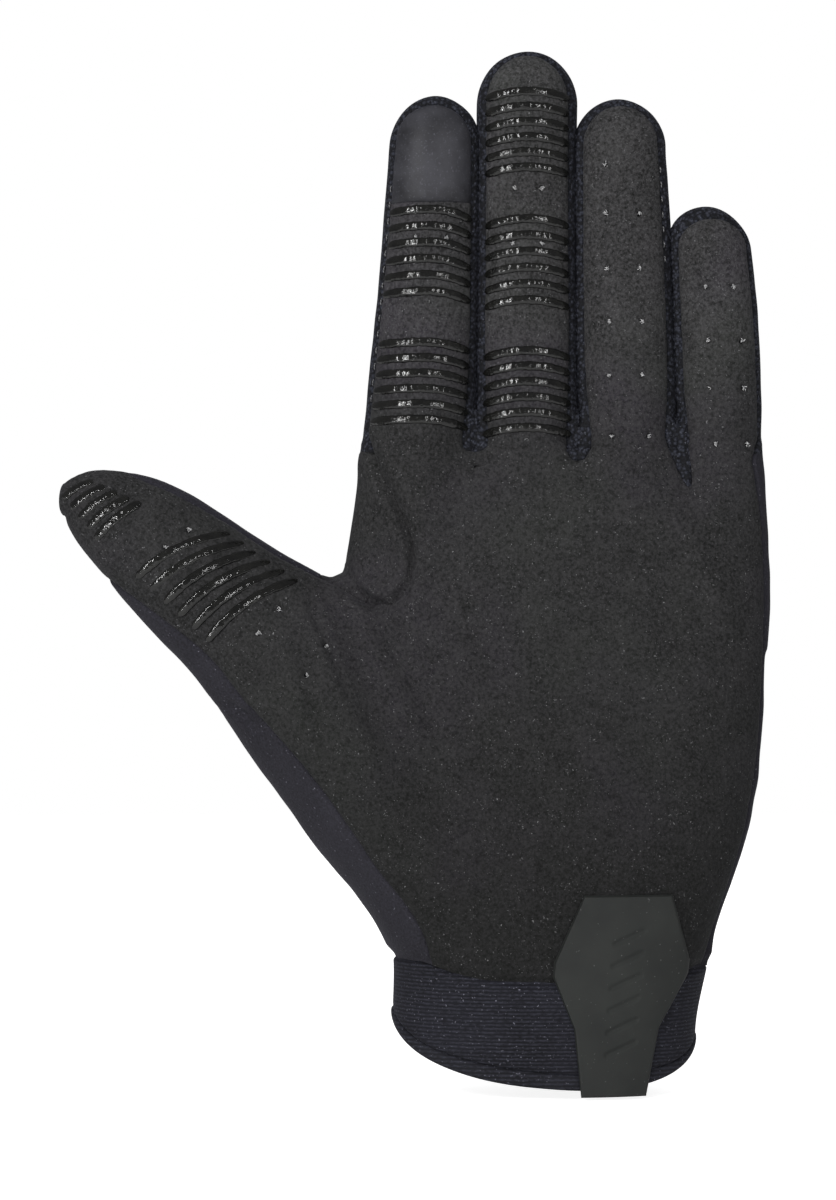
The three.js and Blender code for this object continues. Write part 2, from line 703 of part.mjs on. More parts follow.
// The suede runs up from the cuff along the knit of the thumb, round the thumb's tip, down its upper edge,
// along the gusset, round the four fingers and down the outer side of the hand
function palmOutline() {
  const thumbLow = THUMB_SUEDE_ROWS.map((row) => (
    acrossThumb(row.section, -thumbHalf(row.section) * row.low)
  ));
  const thumbTip = new THREE.Vector2(THUMB_TIP.x + edgeInset, THUMB_TIP.z);
  const thumbHigh = THUMB_SUEDE_ROWS.slice(2).reverse().map(({ section }) => (
    acrossThumb(section, thumbHalf(section) - edgeInset)
  ));
  const fingers = FINGERS.flatMap((finger, number) => (
    number < NOTCHES.length ? [...fingerOutline(number), ...notchFoot(number)] : fingerOutline(number)
  ));
  const outerSide = PALM_ROWS.slice(0, -1).reverse().map(({ up }) => (
    new THREE.Vector2(palmEdge('right', up) - edgeInset, mix(cuffHeight, palmLength, up))
  ));
  const heelLeft = new THREE.Vector2(palmEdge('left', 0) + heelInset, cuffHeight);
  return [
    new THREE.Vector2(heelLeft.x, 0), heelLeft, ...thumbLow, thumbTip, ...thumbHigh,
    ...[...gussetSeam].reverse(), ...fingers, ...outerSide, new THREE.Vector2(outerSide.at(-1).x, 0),
  ];
}

function gussetOutline() {
  const high = gussetSeam[0];
  const low = gussetSeam.at(-1);
  const right = gussetSeam.map((point) => point.clone().setX(point.x + gussetUnderlap));
  return [
    new THREE.Vector2(low.x - gussetReach, high.y), ...right,
    new THREE.Vector2(low.x - gussetReach, low.y),
  ];
}

// Between the centre lines of two neighbouring fingers, from their crotch to the shorter one's round tip
function betweenFingers(left, spread) {
  const top = Math.min(tipStart(FINGERS[left]), tipStart(FINGERS[left + 1])) + spread;
  const foot = palmLength - NOTCHES[left].depth - edgeInset - spread;
  const heights = FOURCHETTE_HEIGHTS.map((share) => share * top);
  const middleLine = (number) => heights.map((height) => (
    new THREE.Vector2(fingerCentreX(number, height), palmLength + height)
  ));
  const footHalf = NOTCHES[left].width / 2 + edgeInset + spread;
  const footX = (fingerEdge(left, 0, 1).x + fingerEdge(left + 1, 0, -1).x) / 2 + NOTCHES[left].lean;
  return [
    new THREE.Vector2(footX + footHalf, foot), ...middleLine(left + 1), ...middleLine(left).reverse(),
    new THREE.Vector2(footX - footHalf, foot),
  ];
}

// The panels

const palmArea = palmOutline();
const suedeBlock = frontPrism(palmArea, -farAway, farAway).intersect(frontSide(0));
const suedeBlockWithGap = frontPrism(grownOutline(palmArea, seamGap), -farAway, farAway)
  .intersect(frontSide(seamGap));

const touchLine = palmLength + touchPatchStart * FINGERS[0].length;
const indexBlock = (bottom) => frontPrism([
  new THREE.Vector2(knuckleLeft, bottom),
  new THREE.Vector2(fingerCentreX(1, 0) - FINGERS[1].rootWidth / 2, bottom),
  new THREE.Vector2(fingerCentreX(1, 0) - FINGERS[1].rootWidth / 2, farAway * 2),
  new THREE.Vector2(knuckleLeft, farAway * 2),
], -farAway, farAway);

function airHole(x, z, backY) {
  const outline = [];
  for (let n = 0; n < holeSides; n += 1) {
    const angle = (2 * Math.PI * n) / holeSides;
    const radius = airHoleWidth / 2;
    outline.push(new THREE.Vector2(x + radius * Math.cos(angle), z + radius * Math.sin(angle)));
  }
  return frontPrism(outline, -farAway, backY);
}

function airHoles() {
  const onFingers = FINGER_AIR_HOLES.flatMap((row) => {
    const finger = FINGERS[row.finger];
    const height = row.up * finger.length;
    return [row.left, row.right].map((share) => {
      const x = fingerCentreX(row.finger, height) + share * fingerHalfWidth(finger, height);
      return airHole(x, palmLength + height, fingerCentreY(height));
    });
  });
  const onThumb = THUMB_AIR_HOLES.map((row) => (
    airHole(-row.out * thumbReach, row.up * thumbRise, -thumbForward)
  ));
  return unite([...onFingers, ...onThumb]);
}

const handShell = clothShell.subtract(belowCuffLine(seamGap));
const palmShell = handShell.intersect(suedeBlock);

addPiece('palm_panel', palmShell.subtract(indexBlock(touchLine)).subtract(airHoles()), 'suede');
addPiece('touch_patch', palmShell.intersect(indexBlock(touchLine + seamGap)), 'touchLeather');

const knitShell = handShell.subtract(suedeBlockWithGap);
const gussetArea = gussetOutline();
const fourchetteBack = (lift) => frontSide(fourchetteDepth + lift);
const fourchetteBlock = (left, spread) => (
  frontPrism(betweenFingers(left, spread), -farAway, farAway).intersect(fourchetteBack(spread))
);

addPiece('thumb_gusset', knitShell.intersect(frontPrism(gussetArea, -farAway, gussetDepth)), 'suede');
NOTCHES.forEach((notch, left) => {
  const name = `fourchette_${FINGERS[left].name}_${FINGERS[left + 1].name}`;
  addPiece(name, knitShell.intersect(fourchetteBlock(left, 0)), 'meshKnit');
});

const cutFromBack = [
  frontPrism(grownOutline(gussetArea, seamGap), -farAway, gussetDepth + seamGap),
  ...NOTCHES.map((notch, left) => fourchetteBlock(left, seamGap)),
];
addPiece('back_panel', knitShell.subtract(unite(cutFromBack)), 'knit');

addPiece('cuff_band', clothShell.intersect(belowCuffLine(0)).subtract(belowHemTop(seamGap)), 'cuffKnit');
addPiece('cuff_hem', hemShell.intersect(belowHemTop(0)).subtract(belowRim()), 'hemKnit');

// The rubber tab lies over the heel of the palm and the cuff

function tabOutline() {
  const place = (row, side) => new THREE.Vector2(
    tabFootX + tabLean * row.lean + (side * row.width * tabWidth) / 2,
    trimGap + tabLength * (1 - row.down),
  );
  return [...TAB_ROWS.map((row) => place(row, -1)), ...TAB_ROWS.map((row) => place(row, 1)).reverse()];
}

const tabSkin = palmBody(trimGap + tabThickness).subtract(palmBody(trimGap));
addPiece('pull_tab', tabSkin.intersect(frontPrism(tabOutline(), -farAway, 0)), 'rubber');

// Silicone grip strips, arched over the pads of the index finger, the middle finger and the thumb

function bandOutline(points, width) {
  const across = points.map((point, i) => {
    const before = points[Math.max(0, i - 1)];
    const after = points[Math.min(points.length - 1, i + 1)];
    const along = after.clone().sub(before).normalize();
    return new THREE.Vector2(-along.y, along.x).multiplyScalar(width / 2);
  });
  const high = points.map((point, i) => point.clone().add(across[i]));
  const low = points.map((point, i) => point.clone().sub(across[i]));
  return [...low, ...high.reverse()];
}

function fingerGrip(row, share, skin) {
  const finger = FINGERS[row.finger];
  const height = mix(row.from, row.to, share) * finger.length;
  const half = fingerHalfWidth(finger, height) * gripSpan;
  const points = bandSteps.map((step) => {
    const drop = (step < 0 ? row.leftDrop : row.rightDrop) * gripWidth * step * step;
    return new THREE.Vector2(fingerCentreX(row.finger, height) + step * half, palmLength + height - drop);
  });
  return skin.intersect(frontPrism(bandOutline(points, gripWidth), -farAway, fingerCentreY(height)));
}

function thumbGrip(group, share, skin) {
  const end = (first, last) => new THREE.Vector2(
    -mix(first.out, last.out, share) * thumbReach,
    mix(first.up, last.up, share) * thumbRise,
  );
  const low = end(group.firstLow, group.lastLow);
  const high = end(group.firstHigh, group.lastHigh);
  const along = high.clone().sub(low).normalize();
  const towardsTip = new THREE.Vector2(-along.y, along.x);
  const points = bandSteps.map((step) => {
    const bulge = group.bulge * gripWidth * (1 - step * step);
    return low.clone().lerp(high, (step + 1) / 2).addScaledVector(towardsTip, bulge);
  });
  return skin.intersect(frontPrism(bandOutline(points, gripWidth), -farAway, -thumbForward * thumbGripBack));
}

const fingerSkins = FINGERS.map((finger, number) => (
  fingerTube(number, trimGap + gripThickness).subtract(fingerTube(number, trimGap))
));
const thumbSkin = thumbTube(trimGap + gripThickness).subtract(thumbTube(trimGap));

for (const row of FINGER_GRIPS) {
  for (let n = 0; n < row.count; n += 1) {
    const strip = fingerGrip(row, n / (row.count - 1), fingerSkins[row.finger]);
    addPiece(`grip_${FINGERS[row.finger].name}_${row.group}_${n + 1}`, strip, 'silicone');
  }
}
for (const group of THUMB_GRIPS) {
  for (let n = 0; n < group.count; n += 1) {
    const strip = thumbGrip(group, n / (group.count - 1), thumbSkin);
    addPiece(`grip_thumb_${group.group}_${n + 1}`, strip, 'silicone');
  }
}

export default glove;
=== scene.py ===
"""A full-finger cycling glove for the left hand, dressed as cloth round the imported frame.

Lengths are millimetres until a mesh is made. The axes are the frame's: +Z up along the fingers, +X
towards the little finger, and the palm faces -Y. The worn form is one smooth field, built from the same
sections as the frame's solids. Its surface is cut along the seams into the sewn panels, which then get
their rolled edges, thickness and small folds.
"""

import math

import bmesh
import bpy
import numpy as np
from mathutils.kdtree import KDTree
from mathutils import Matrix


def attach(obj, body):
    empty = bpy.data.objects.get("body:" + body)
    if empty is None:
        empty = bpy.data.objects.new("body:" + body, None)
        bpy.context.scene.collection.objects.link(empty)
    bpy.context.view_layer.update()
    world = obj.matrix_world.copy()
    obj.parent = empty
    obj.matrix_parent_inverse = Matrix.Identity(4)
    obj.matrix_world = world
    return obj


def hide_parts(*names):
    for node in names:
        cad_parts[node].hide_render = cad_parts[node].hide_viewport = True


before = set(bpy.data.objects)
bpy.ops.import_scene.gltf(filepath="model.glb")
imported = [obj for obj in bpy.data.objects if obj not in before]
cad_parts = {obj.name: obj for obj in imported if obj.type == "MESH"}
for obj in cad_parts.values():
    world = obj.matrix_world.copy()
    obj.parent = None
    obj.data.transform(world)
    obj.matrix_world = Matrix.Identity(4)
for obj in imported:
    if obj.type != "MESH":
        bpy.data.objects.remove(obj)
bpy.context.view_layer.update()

MM = 0.001
CELL = 0.8

# The worn form

WRIST_WIDTH, WRIST_DEPTH, CUFF_HEIGHT = 70.0, 50.0, 30.0
PALM_LENGTH, PALM_DEPTH, PALM_HOLLOW = 147.5, 34.0, 2.0
FINGER_NAMES = ("index", "middle", "ring", "little")
FINGER_LENGTH = (80.0, 90.0, 79.0, 55.0)
FINGER_WIDTHS = ((25.7, 22.3, 19.2), (23.1, 21.7, 21.7), (22.0, 21.3, 19.2), (19.4, 19.4, 17.6))
TIP_RIM = (2.2, 0.9, 1.3, 3.0)
MIDDLE_FINGER_X, FINGER_GAP, FINGER_CURL = -3.5, 0.6, 4.0
TIP_ROUNDNESS, DEPTH_AT_ROOT, DEPTH_AT_TIP = 1.12, 0.97, 0.86
THUMB_REACH, THUMB_RISE, THUMB_WIDTH, THUMB_DEPTH, THUMB_FORWARD = 111.5, 135.0, 33.4, 25.0, 9.0
SPREAD = 2.2  # the field has the fingers this much further apart, and they are closed up afterwards
PRESS = 0.8  # how far each side of a finger then swells into the gap
SECTION_POWER = 2.3  # 2 is an ellipse, more is squarer
FIELD_LOW, FIELD_HIGH = (-118.0, -30.0, 17.0), (64.0, 30.0, 241.0)
LEAST_SLOPE = 0.02  # keeps a distance from growing without end near a form's middle line
FINGER_FOOT = 45.0  # how far a finger's form reaches down into the palm
PALM_BLEND, WEB_BLEND, THUMB_BLEND = 4.0, 2.0, 7.0
WEB_DEPTH, WEB_RISE, WEB_DROP, WEB_INSET = 6.2, 7.0, 2.0, (10, 12)
THUMB_END_ROUNDING = 1.5

# up, left, right, front, back: shares of the wrist's sizes, as in the frame's solids
WRIST_ROWS = ((0.0, 0.985, 0.985, 0.97, 0.95), (0.6, 0.98, 1.015, 1.0, 0.97))
# up, left, right, front, back, hollow: shares of the palm's sizes
PALM_ROWS = (
    (0.0, 0.715, 0.82, 0.71, 0.68, 0.0),
    (0.23, 0.93, 1.0, 0.665, 0.59, 0.4),
    (0.385, 1.01, 1.057, 0.6, 0.545, 0.9),
    (0.573, 1.06, 1.07, 0.535, 0.5, 1.0),
    (0.735, 1.065, 1.06, 0.475, 0.465, 0.5),
    (0.855, 1.03, 1.035, 0.39, 0.40, 0.1),
    (0.95, 0.985, 0.985, 0.3, 0.31, 0.0),
    (1.0, 0.95, 0.95, 0.22, 0.24, 0.0),
)
# out, up, half, front, back, forward: shares of the thumb's sizes, and the twist in degrees
THUMB_ROWS = (
    (0.17, 0.255, 0.72, 1.4, 1.3, 0.2, 0),
    (0.284, 0.424, 1.0, 1.48, 1.2, 0.3, 5),
    (0.398, 0.577, 1.15, 1.42, 1.1, 0.42, 10),
    (0.506, 0.731, 1.27, 1.2, 1.05, 0.6, 14),
    (0.624, 0.803, 1.01, 1.04, 0.98, 0.75, 20),
    (0.73, 0.878, 0.885, 0.95, 0.92, 0.88, 22),
    (0.817, 0.935, 0.76, 0.87, 0.85, 0.97, 22),
    (0.879, 0.97, 0.645, 0.76, 0.76, 1.0, 22),
    (0.933, 0.992, 0.5, 0.58, 0.58, 1.0, 22),
    (0.976, 1.002, 0.33, 0.38, 0.38, 1.0, 22),
)
# section of the thumb: where the suede's lower edge runs, as a share of its half width
THUMB_SUEDE_LOW = {1: 0.52, 2: 0.53, 3: 0.7, 4: 0.66, 5: 0.8, 6: 0.97, 7: 1.07, 8: 1.1}
# right and up from the knuckles' left end, as shares of the knuckles' half width and the palm's length
GUSSET_SEAM = (
    (0.07, 0.975), (0.12, 0.938), (0.18, 0.908), (0.226, 0.875), (0.26, 0.842), (0.26, 0.815),
    (0.235, 0.785), (0.166, 0.757), (0.096, 0.752), (0.027, 0.757), (-0.06, 0.772),
)
# depth, width, lean, roundness of the suede's notch below each gap between two fingers
NOTCHES = ((1.4, 4.9, -0.5, 2.0), (3.7, 4.9, -0.4, 2.4), (9.8, 4.2, 2.6, 1.1))
EDGE_INSET, HEEL_INSET, CROTCH_INSET, CROTCH_REACH = 1.05, 8.0, 1.5, 0.3
THUMB_INSET, THUMB_TIP_WRAP = 0.1, 2.5
UNDERLAP = 1.4  # how far the lower panels run on below the suede's edge
SUEDE_WRAP = 1.2  # how far behind the middle of a finger the suede reaches
SEAM_SINK, SEAM_WIDTH, SEAM_SWELL, SWELL_AWAY, SWELL_WIDTH = 0.9, 1.3, 0.45, 3.2, 1.6
FOURCHETTE_DEPTH, GUSSET_DEPTH = 3.5, 8.0
RIM_RISE, RIM_TILT, RIM_DIP_BACK, HEM_HEIGHT, HEM_NARROWING = 13.5, 3.0, 4.0, 4.0, 1.8
CUFF_SAG, CUFF_SAG_CENTRE, CUFF_SAG_REACH = 5.5, 0.23, 1.03
TOUCH_START = 0.69
CLOTH, HEM_WALL = 1.2, 2.2


def mix(a, b, t):
    """Between a and b by the share t."""
    return a + (b - a) * t


def smoothstep(t):
    """A smooth rise from 0 to 1."""
    t = np.clip(t, 0, 1)
    return t * t * (3 - 2 * t)


def soft_min(a, b, reach):
    """The smaller value, blended where the two are closer than reach."""
    near = np.maximum(reach - np.abs(a - b), 0) / reach
    return np.minimum(a, b) - near * near * reach / 4


def waves(points, size, seed, count=22):
    """Smooth noise of about -1 to 1 with bumps of that size."""
    random = np.random.default_rng(seed)
    total = np.zeros(len(points))
    for _ in range(count):
        way = random.normal(size=3)
        way *= 2 * math.pi / (np.linalg.norm(way) * size * random.uniform(1.3, 3.0))
        total += np.sin(points @ way + random.uniform(0, 2 * math.pi))
    return total / math.sqrt(count)


def half_width(n, height):
    """A finger's half width at a height above the knuckles."""
    root, middle, tip = FINGER_WIDTHS[n]
    s = np.clip(height / FINGER_LENGTH[n], 0, 1)
    return (root * (1 - s) * (1 - 2 * s) + middle * 4 * s * (1 - s) + tip * s * (2 * s - 1)) / 2


def half_depth(n, height):
    """A finger's half depth at a height above the knuckles."""
    s = np.clip(height / FINGER_LENGTH[n], 0, 1)
    return half_width(n, height) * mix(DEPTH_AT_ROOT, DEPTH_AT_TIP, s)


def tip_start(n):
    """The height where the round fingertip begins."""
    return FINGER_LENGTH[n] - FINGER_WIDTHS[n][2] / 2 * TIP_ROUNDNESS


def finger_x(n, height, gap=FINGER_GAP):
    """Where a finger's middle line is, fingers side by side."""
    if n == 0:
        return MIDDLE_FINGER_X - half_width(1, height) - gap - half_width(0, height)
    x = MIDDLE_FINGER_X + 0 * height
    for k in range(1, n):
        x = x + half_width(k, height) + gap + half_width(k + 1, height)
    return x


def finger_y(height):
    """How far the fingers curl towards the palm side."""
    return -FINGER_CURL * (np.maximum(height, 0) / max(FINGER_LENGTH)) ** 2


KNUCKLE_LEFT = float(finger_x(0, 0.0)) - FINGER_WIDTHS[0][0] / 2
KNUCKLE_RIGHT = float(finger_x(3, 0.0)) + FINGER_WIDTHS[3][0] / 2
KNUCKLE_HALF = (KNUCKLE_RIGHT - KNUCKLE_LEFT) / 2
KNUCKLE_CENTRE = (KNUCKLE_RIGHT + KNUCKLE_LEFT) / 2
WRIST_HALF = WRIST_WIDTH / 2


class Line:
    """A row table's column as a smooth function of a key."""

    def __init__(self, keys, values, reach, margin=30.0):
        self.keys = np.arange(keys[0] - margin, keys[-1] + margin, reach / 12)
        plain = np.interp(self.keys, keys, values)
        window = np.hanning(25)
        padded = np.pad(plain, 12, mode="edge")
        self.values = np.convolve(padded, window / window.sum(), mode="valid")

    def __call__(self, key):
        return np.interp(key, self.keys, self.values)


def palm_lines():
    """The palm's and wrist's left, right, front, back and hollow as lines over the height."""
    keys, rows = [], []
    for up, left, right, front, back in WRIST_ROWS:
        keys.append(up * CUFF_HEIGHT)
        half_deep = WRIST_DEPTH / 2
        rows.append((-left * WRIST_HALF, right * WRIST_HALF, front * half_deep, back * half_deep, 0))
    for up, left, right, front, back, hollow in PALM_ROWS:
        keys.append(mix(CUFF_HEIGHT, PALM_LENGTH, up))
        centre = KNUCKLE_CENTRE * up
        sides = (centre - left * KNUCKLE_HALF, centre + right * KNUCKLE_HALF)
        rows.append((*sides, front * PALM_DEPTH, back * PALM_DEPTH, hollow * PALM_HOLLOW))
    return [Line(keys, column, 13) for column in zip(*rows)]


LEFT_X, RIGHT_X, FRONT_DEPTH, BACK_DEPTH, HOLLOW = palm_lines()


def spread_at(z):
    """How far the fingers are spread at a height: from nothing to all over the upper palm."""
    return SPREAD * smoothstep((z - (PALM_LENGTH - 32)) / 26)


def palm_field(x, y, z, spread):
    """About the distance to the wrist and palm."""
    low, high = LEFT_X(z) - spread, RIGHT_X(z) + 2 * spread
    u = np.abs((x - (low + high) / 2) / ((high - low) / 2)) + 1e-6
    half = (high - low) / 2
    dent = HOLLOW(z) * np.clip(1 - u * u, 0, 1) ** 2
    depth = np.where(y < 0, FRONT_DEPTH(z) - dent, BACK_DEPTH(z))
    v = np.abs(y) / depth + 1e-6
    p = SECTION_POWER
    total = u**p + v**p
    g = total ** (1 / p)
    slope = g / total * np.sqrt((u ** (p - 1) / half) ** 2 + (v ** (p - 1) / depth) ** 2)
    return np.maximum((g - 1) / np.maximum(slope, LEAST_SLOPE), z - (PALM_LENGTH - 1.5))


def finger_field(n, x, y, z, spread):
    """About the distance to a finger with a round tip."""
    height = z - PALM_LENGTH
    wide, deep = half_width(n, height), half_depth(n, height)
    straight = tip_start(n)
    # The pads swell a little between the joints
    pads = 1 + 0.02 * np.cos(2 * math.pi * (height / FINGER_LENGTH[n] * 2.6 - 0.25))
    u = (x - finger_x(n, height, FINGER_GAP + spread)) / wide
    v = (y - finger_y(height)) / (deep * np.where(y < 0, pads, 1))
    w = np.maximum(0, height - straight) / (FINGER_LENGTH[n] - straight)
    g = np.sqrt(u * u + v * v + w * w) + 1e-6
    slope = np.sqrt((u / wide) ** 2 + (v / deep) ** 2 + (w / (FINGER_LENGTH[n] - straight)) ** 2) / g
    return np.maximum((g - 1) / np.maximum(slope, LEAST_SLOPE), PALM_LENGTH - FINGER_FOOT - z)


def thumb_lines(steps=160):
    """The thumb's columns at even steps along it."""
    rows = [list(row) for row in THUMB_ROWS] + [[0.995, 1.0, 0.2, 0.22, 0.22, 1.0, 22]]
    keys = np.arange(len(rows), dtype=float)
    lines = [Line(keys, column, 1.1, margin=3.0) for column in zip(*rows)]
    at = np.linspace(0, len(rows) - 1, steps)
    return np.array([line(at) for line in lines])


THUMB = thumb_lines()
THUMB_AXIS = np.stack([-THUMB[0] * THUMB_REACH, THUMB[1] * THUMB_RISE], 1)
THUMB_ALONG = np.gradient(THUMB_AXIS, axis=0)
THUMB_STEP = np.linalg.norm(THUMB_ALONG, axis=1)
THUMB_ALONG /= THUMB_STEP[:, None]


def thumb_place(x, z):
    """Where a point of the front view is along the thumb's line, across it and beyond its end."""
    flat = np.stack([x.ravel(), z.ravel()], 1)
    nearest = np.empty(len(flat), int)
    for start in range(0, len(flat), 20000):
        part = flat[start : start + 20000]
        away = ((part[:, None, :] - THUMB_AXIS[None]) ** 2).sum(2)
        nearest[start : start + 20000] = away.argmin(1)
    off = flat - THUMB_AXIS[nearest]
    way = THUMB_ALONG[nearest]
    along = (off * way).sum(1)
    across = off[:, 0] * way[:, 1] - off[:, 1] * way[:, 0]
    place = np.clip(nearest + along / THUMB_STEP[nearest], 0, len(THUMB_AXIS) - 1)
    last = nearest == len(THUMB_AXIS) - 1
    beyond = np.where(last, np.maximum(along, 0), 0)
    return [a.reshape(x.shape) for a in (place, across, beyond)]


def thumb_row(place):
    """The thumb's columns at places along it."""
    keys = np.arange(THUMB.shape[1])
    return [np.interp(place, keys, column) for column in THUMB]


def thumb_field(x, y, z):
    """About the distance to the thumb, whose sections are turned by its twist."""
    x, z = np.broadcast_arrays(x, z)
    place, across, beyond = thumb_place(x, z)
    _, _, half, front, back, forward, twist = thumb_row(place)
    turn = np.radians(twist)
    b = y + forward * THUMB_FORWARD
    wide = across * np.cos(turn) + b * np.sin(turn)
    deep = b * np.cos(turn) - across * np.sin(turn)
    widen = 1 / np.hypot(np.cos(turn), np.sin(turn) * (THUMB_DEPTH / THUMB_WIDTH))
    half_x = half * THUMB_WIDTH / 2 * widen
    half_y = np.where(deep < 0, front, back) * THUMB_DEPTH / 2
    u, v, w = wide / half_x, deep / half_y, beyond / THUMB_END_ROUNDING
    g = np.sqrt(u * u + v * v + w * w) + 1e-6
    slope = np.sqrt((u / half_x) ** 2 + (v / half_y) ** 2 + (w / THUMB_END_ROUNDING) ** 2) / g
    return (g - 1) / np.maximum(slope, LEAST_SLOPE)


def hand_field(x, y, z):
    """About the distance to the worn form's surface, with the fingers spread. Inside is negative."""
    spread = spread_at(z)
    fingers = finger_field(0, x, y, z, spread)
    for n in (1, 2, 3):
        fingers = np.minimum(fingers, finger_field(n, x, y, z, spread))
    hand = soft_min(palm_field(x, y, z, spread), fingers, PALM_BLEND)
    # A low web closes the gaps' feet between the fingers
    web_top = PALM_LENGTH + WEB_RISE - WEB_DROP * smoothstep((x - 12) / 20)
    web = np.maximum(np.abs(y) - WEB_DEPTH, z - web_top)
    web = np.maximum(web, np.maximum(KNUCKLE_LEFT + WEB_INSET[0] - x, x - (KNUCKLE_RIGHT - WEB_INSET[1])))
    hand = soft_min(hand, web, WEB_BLEND)
    return soft_min(hand, thumb_field(x, y, z), THUMB_BLEND)


def gap_knots(z):
    """The finger sides' places with the fingers spread, and closed up."""
    height = z - PALM_LENGTH
    spread = spread_at(z)
    press = PRESS * smoothstep((height - 1) / 6)
    open_x, closed_x = [], []
    for n in range(4):
        wide = half_width(n, height)
        apart, real = finger_x(n, height, FINGER_GAP + spread), finger_x(n, height)
        open_x += [apart - wide, apart + wide]
        closed_x += [real - wide - (press if n > 0 else 0), real + wide + (press if n < 3 else 0)]
    return open_x, closed_x


def remap(x, source, target):
    """Moves x so that the knots at source come to target, with straight stretches between."""
    out = x + target[0] - source[0]
    for k in range(7):
        share = (x - source[k]) / (source[k + 1] - source[k])
        out = np.where(x >= source[k], mix(target[k], target[k + 1], share), out)
    return np.where(x >= source[7], x + target[7] - source[7], out)


def close_fingers(points):
    """Moves the points of the spread form to where they are on the real one."""
    open_x, closed_x = gap_knots(points[:, 2])
    return np.column_stack([remap(points[:, 0], open_x, closed_x), points[:, 1:]])


def real_field(x, y, z):
    """About the distance to the worn form with its fingers closed."""
    open_x, closed_x = gap_knots(z)
    return hand_field(remap(x, closed_x, open_x), y, z)


def front_y(x, z):
    """Where the palm side's surface is, at places of the front view."""
    x, z = np.asarray(x, float), np.asarray(z, float)
    near, far = np.full(x.shape, -45.0), np.full(x.shape, -2.0)
    steps = 48
    best = np.full(x.shape, np.nan)
    for n in range(steps):
        y = near + (far - near) * n / (steps - 1)
        hit = np.isnan(best) & (real_field(x, y, z) < 0)
        best = np.where(hit, y, best)
    best = np.where(np.isnan(best), far, best)
    low, high = best - 1.0, best.copy()
    for _ in range(14):
        middle = (low + high) / 2
        outside = real_field(x, middle, z) > 0
        low, high = np.where(outside, middle, low), np.where(outside, high, middle)
    return (low + high) / 2


def gradient(field, points, step):
    """How a field changes at points, along each axis."""
    x, y, z = points.T
    return np.stack([
        field(x + step, y, z) - field(x - step, y, z),
        field(x, y + step, z) - field(x, y - step, z),
        field(x, y, z + step) - field(x, y, z - step),
    ], 1) / (2 * step)


def outward(points):
    """The surface's normals at points on it."""
    slope = gradient(real_field, points, 0.15)
    return slope / np.linalg.norm(slope, axis=1, keepdims=True)


# Meshes as arrays


def surface_net(values, origin, cell):
    """Points and outward quads of the surface where the values on a grid are zero."""
    inside = values < 0
    shape = [s - 1 for s in inside.shape]
    corners = [(i, j, k) for i in (0, 1) for j in (0, 1) for k in (0, 1)]

    def shifted(array, c):
        return array[c[0] : c[0] + shape[0], c[1] : c[1] + shape[1], c[2] : c[2] + shape[2]]

    count = sum(shifted(inside, c).astype(np.int8) for c in corners)
    active = (count > 0) & (count < 8)
    number = np.full(shape, -1)
    number[active] = np.arange(active.sum())
    cells = np.argwhere(active)
    at = {c: values[tuple((cells + c).T)] for c in corners}
    total, hits = np.zeros((len(cells), 3)), np.zeros(len(cells))
    for a in corners:
        for axis in range(3):
            if a[axis]:
                continue
            b = tuple(1 if k == axis else a[k] for k in range(3))
            crossed = (at[a] < 0) != (at[b] < 0)
            share = np.where(crossed, at[a] / np.where(crossed, at[a] - at[b], 1), 0)
            place = np.array(a, float) + share[:, None] * (np.array(b) - np.array(a))
            total += place * crossed[:, None]
            hits += crossed
    points = origin + cell * (cells + total / hits[:, None])
    quads = []
    for axis in range(3):
        one, two = (axis + 1) % 3, (axis + 2) % 3
        low = [slice(None)] * 3
        high = [slice(None)] * 3
        low[axis], high[axis] = slice(0, -1), slice(1, None)
        changed = inside[tuple(low)] != inside[tuple(high)]
        edges = np.argwhere(changed)
        keep = (edges[:, one] > 0) & (edges[:, two] > 0)
        keep &= (edges[:, one] < shape[one]) & (edges[:, two] < shape[two])
        edges = edges[keep]
        ring = []
        for d_one, d_two in ((-1, -1), (0, -1), (0, 0), (-1, 0)):
            cell_at = edges.copy()
            cell_at[:, one] += d_one
            cell_at[:, two] += d_two
            ring.append(number[tuple(cell_at.T)])
        quad = np.stack(ring, 1)
        leaves = inside[tuple(edges.T)]
        quads.append(np.where(leaves[:, None], quad, quad[:, ::-1]))
    return points, np.concatenate(quads)


def triangles_of(points, quads):
    """Quads cut along their shorter diagonal."""
    a, b, c, d = quads.T
    short = np.linalg.norm(points[a] - points[c], axis=1) <= np.linalg.norm(points[b] - points[d], axis=1)
    one = np.where(short[:, None], np.stack([a, b, c], 1), np.stack([a, b, d], 1))
    two = np.where(short[:, None], np.stack([a, c, d], 1), np.stack([b, c, d], 1))
    return np.concatenate([one, two])


def vertex_normals(points, faces):
    """The points' normals, weighted by the faces' areas."""
    a, b, c = (points[faces[:, k]] for k in range(3))
    face = np.cross(b - a, c - a)
    total = np.zeros_like(points)
    for k in range(3):
        for axis in range(3):
            total[:, axis] += np.bincount(faces[:, k], face[:, axis], len(points))
    return total / np.maximum(np.linalg.norm(total, axis=1, keepdims=True), 1e-9)


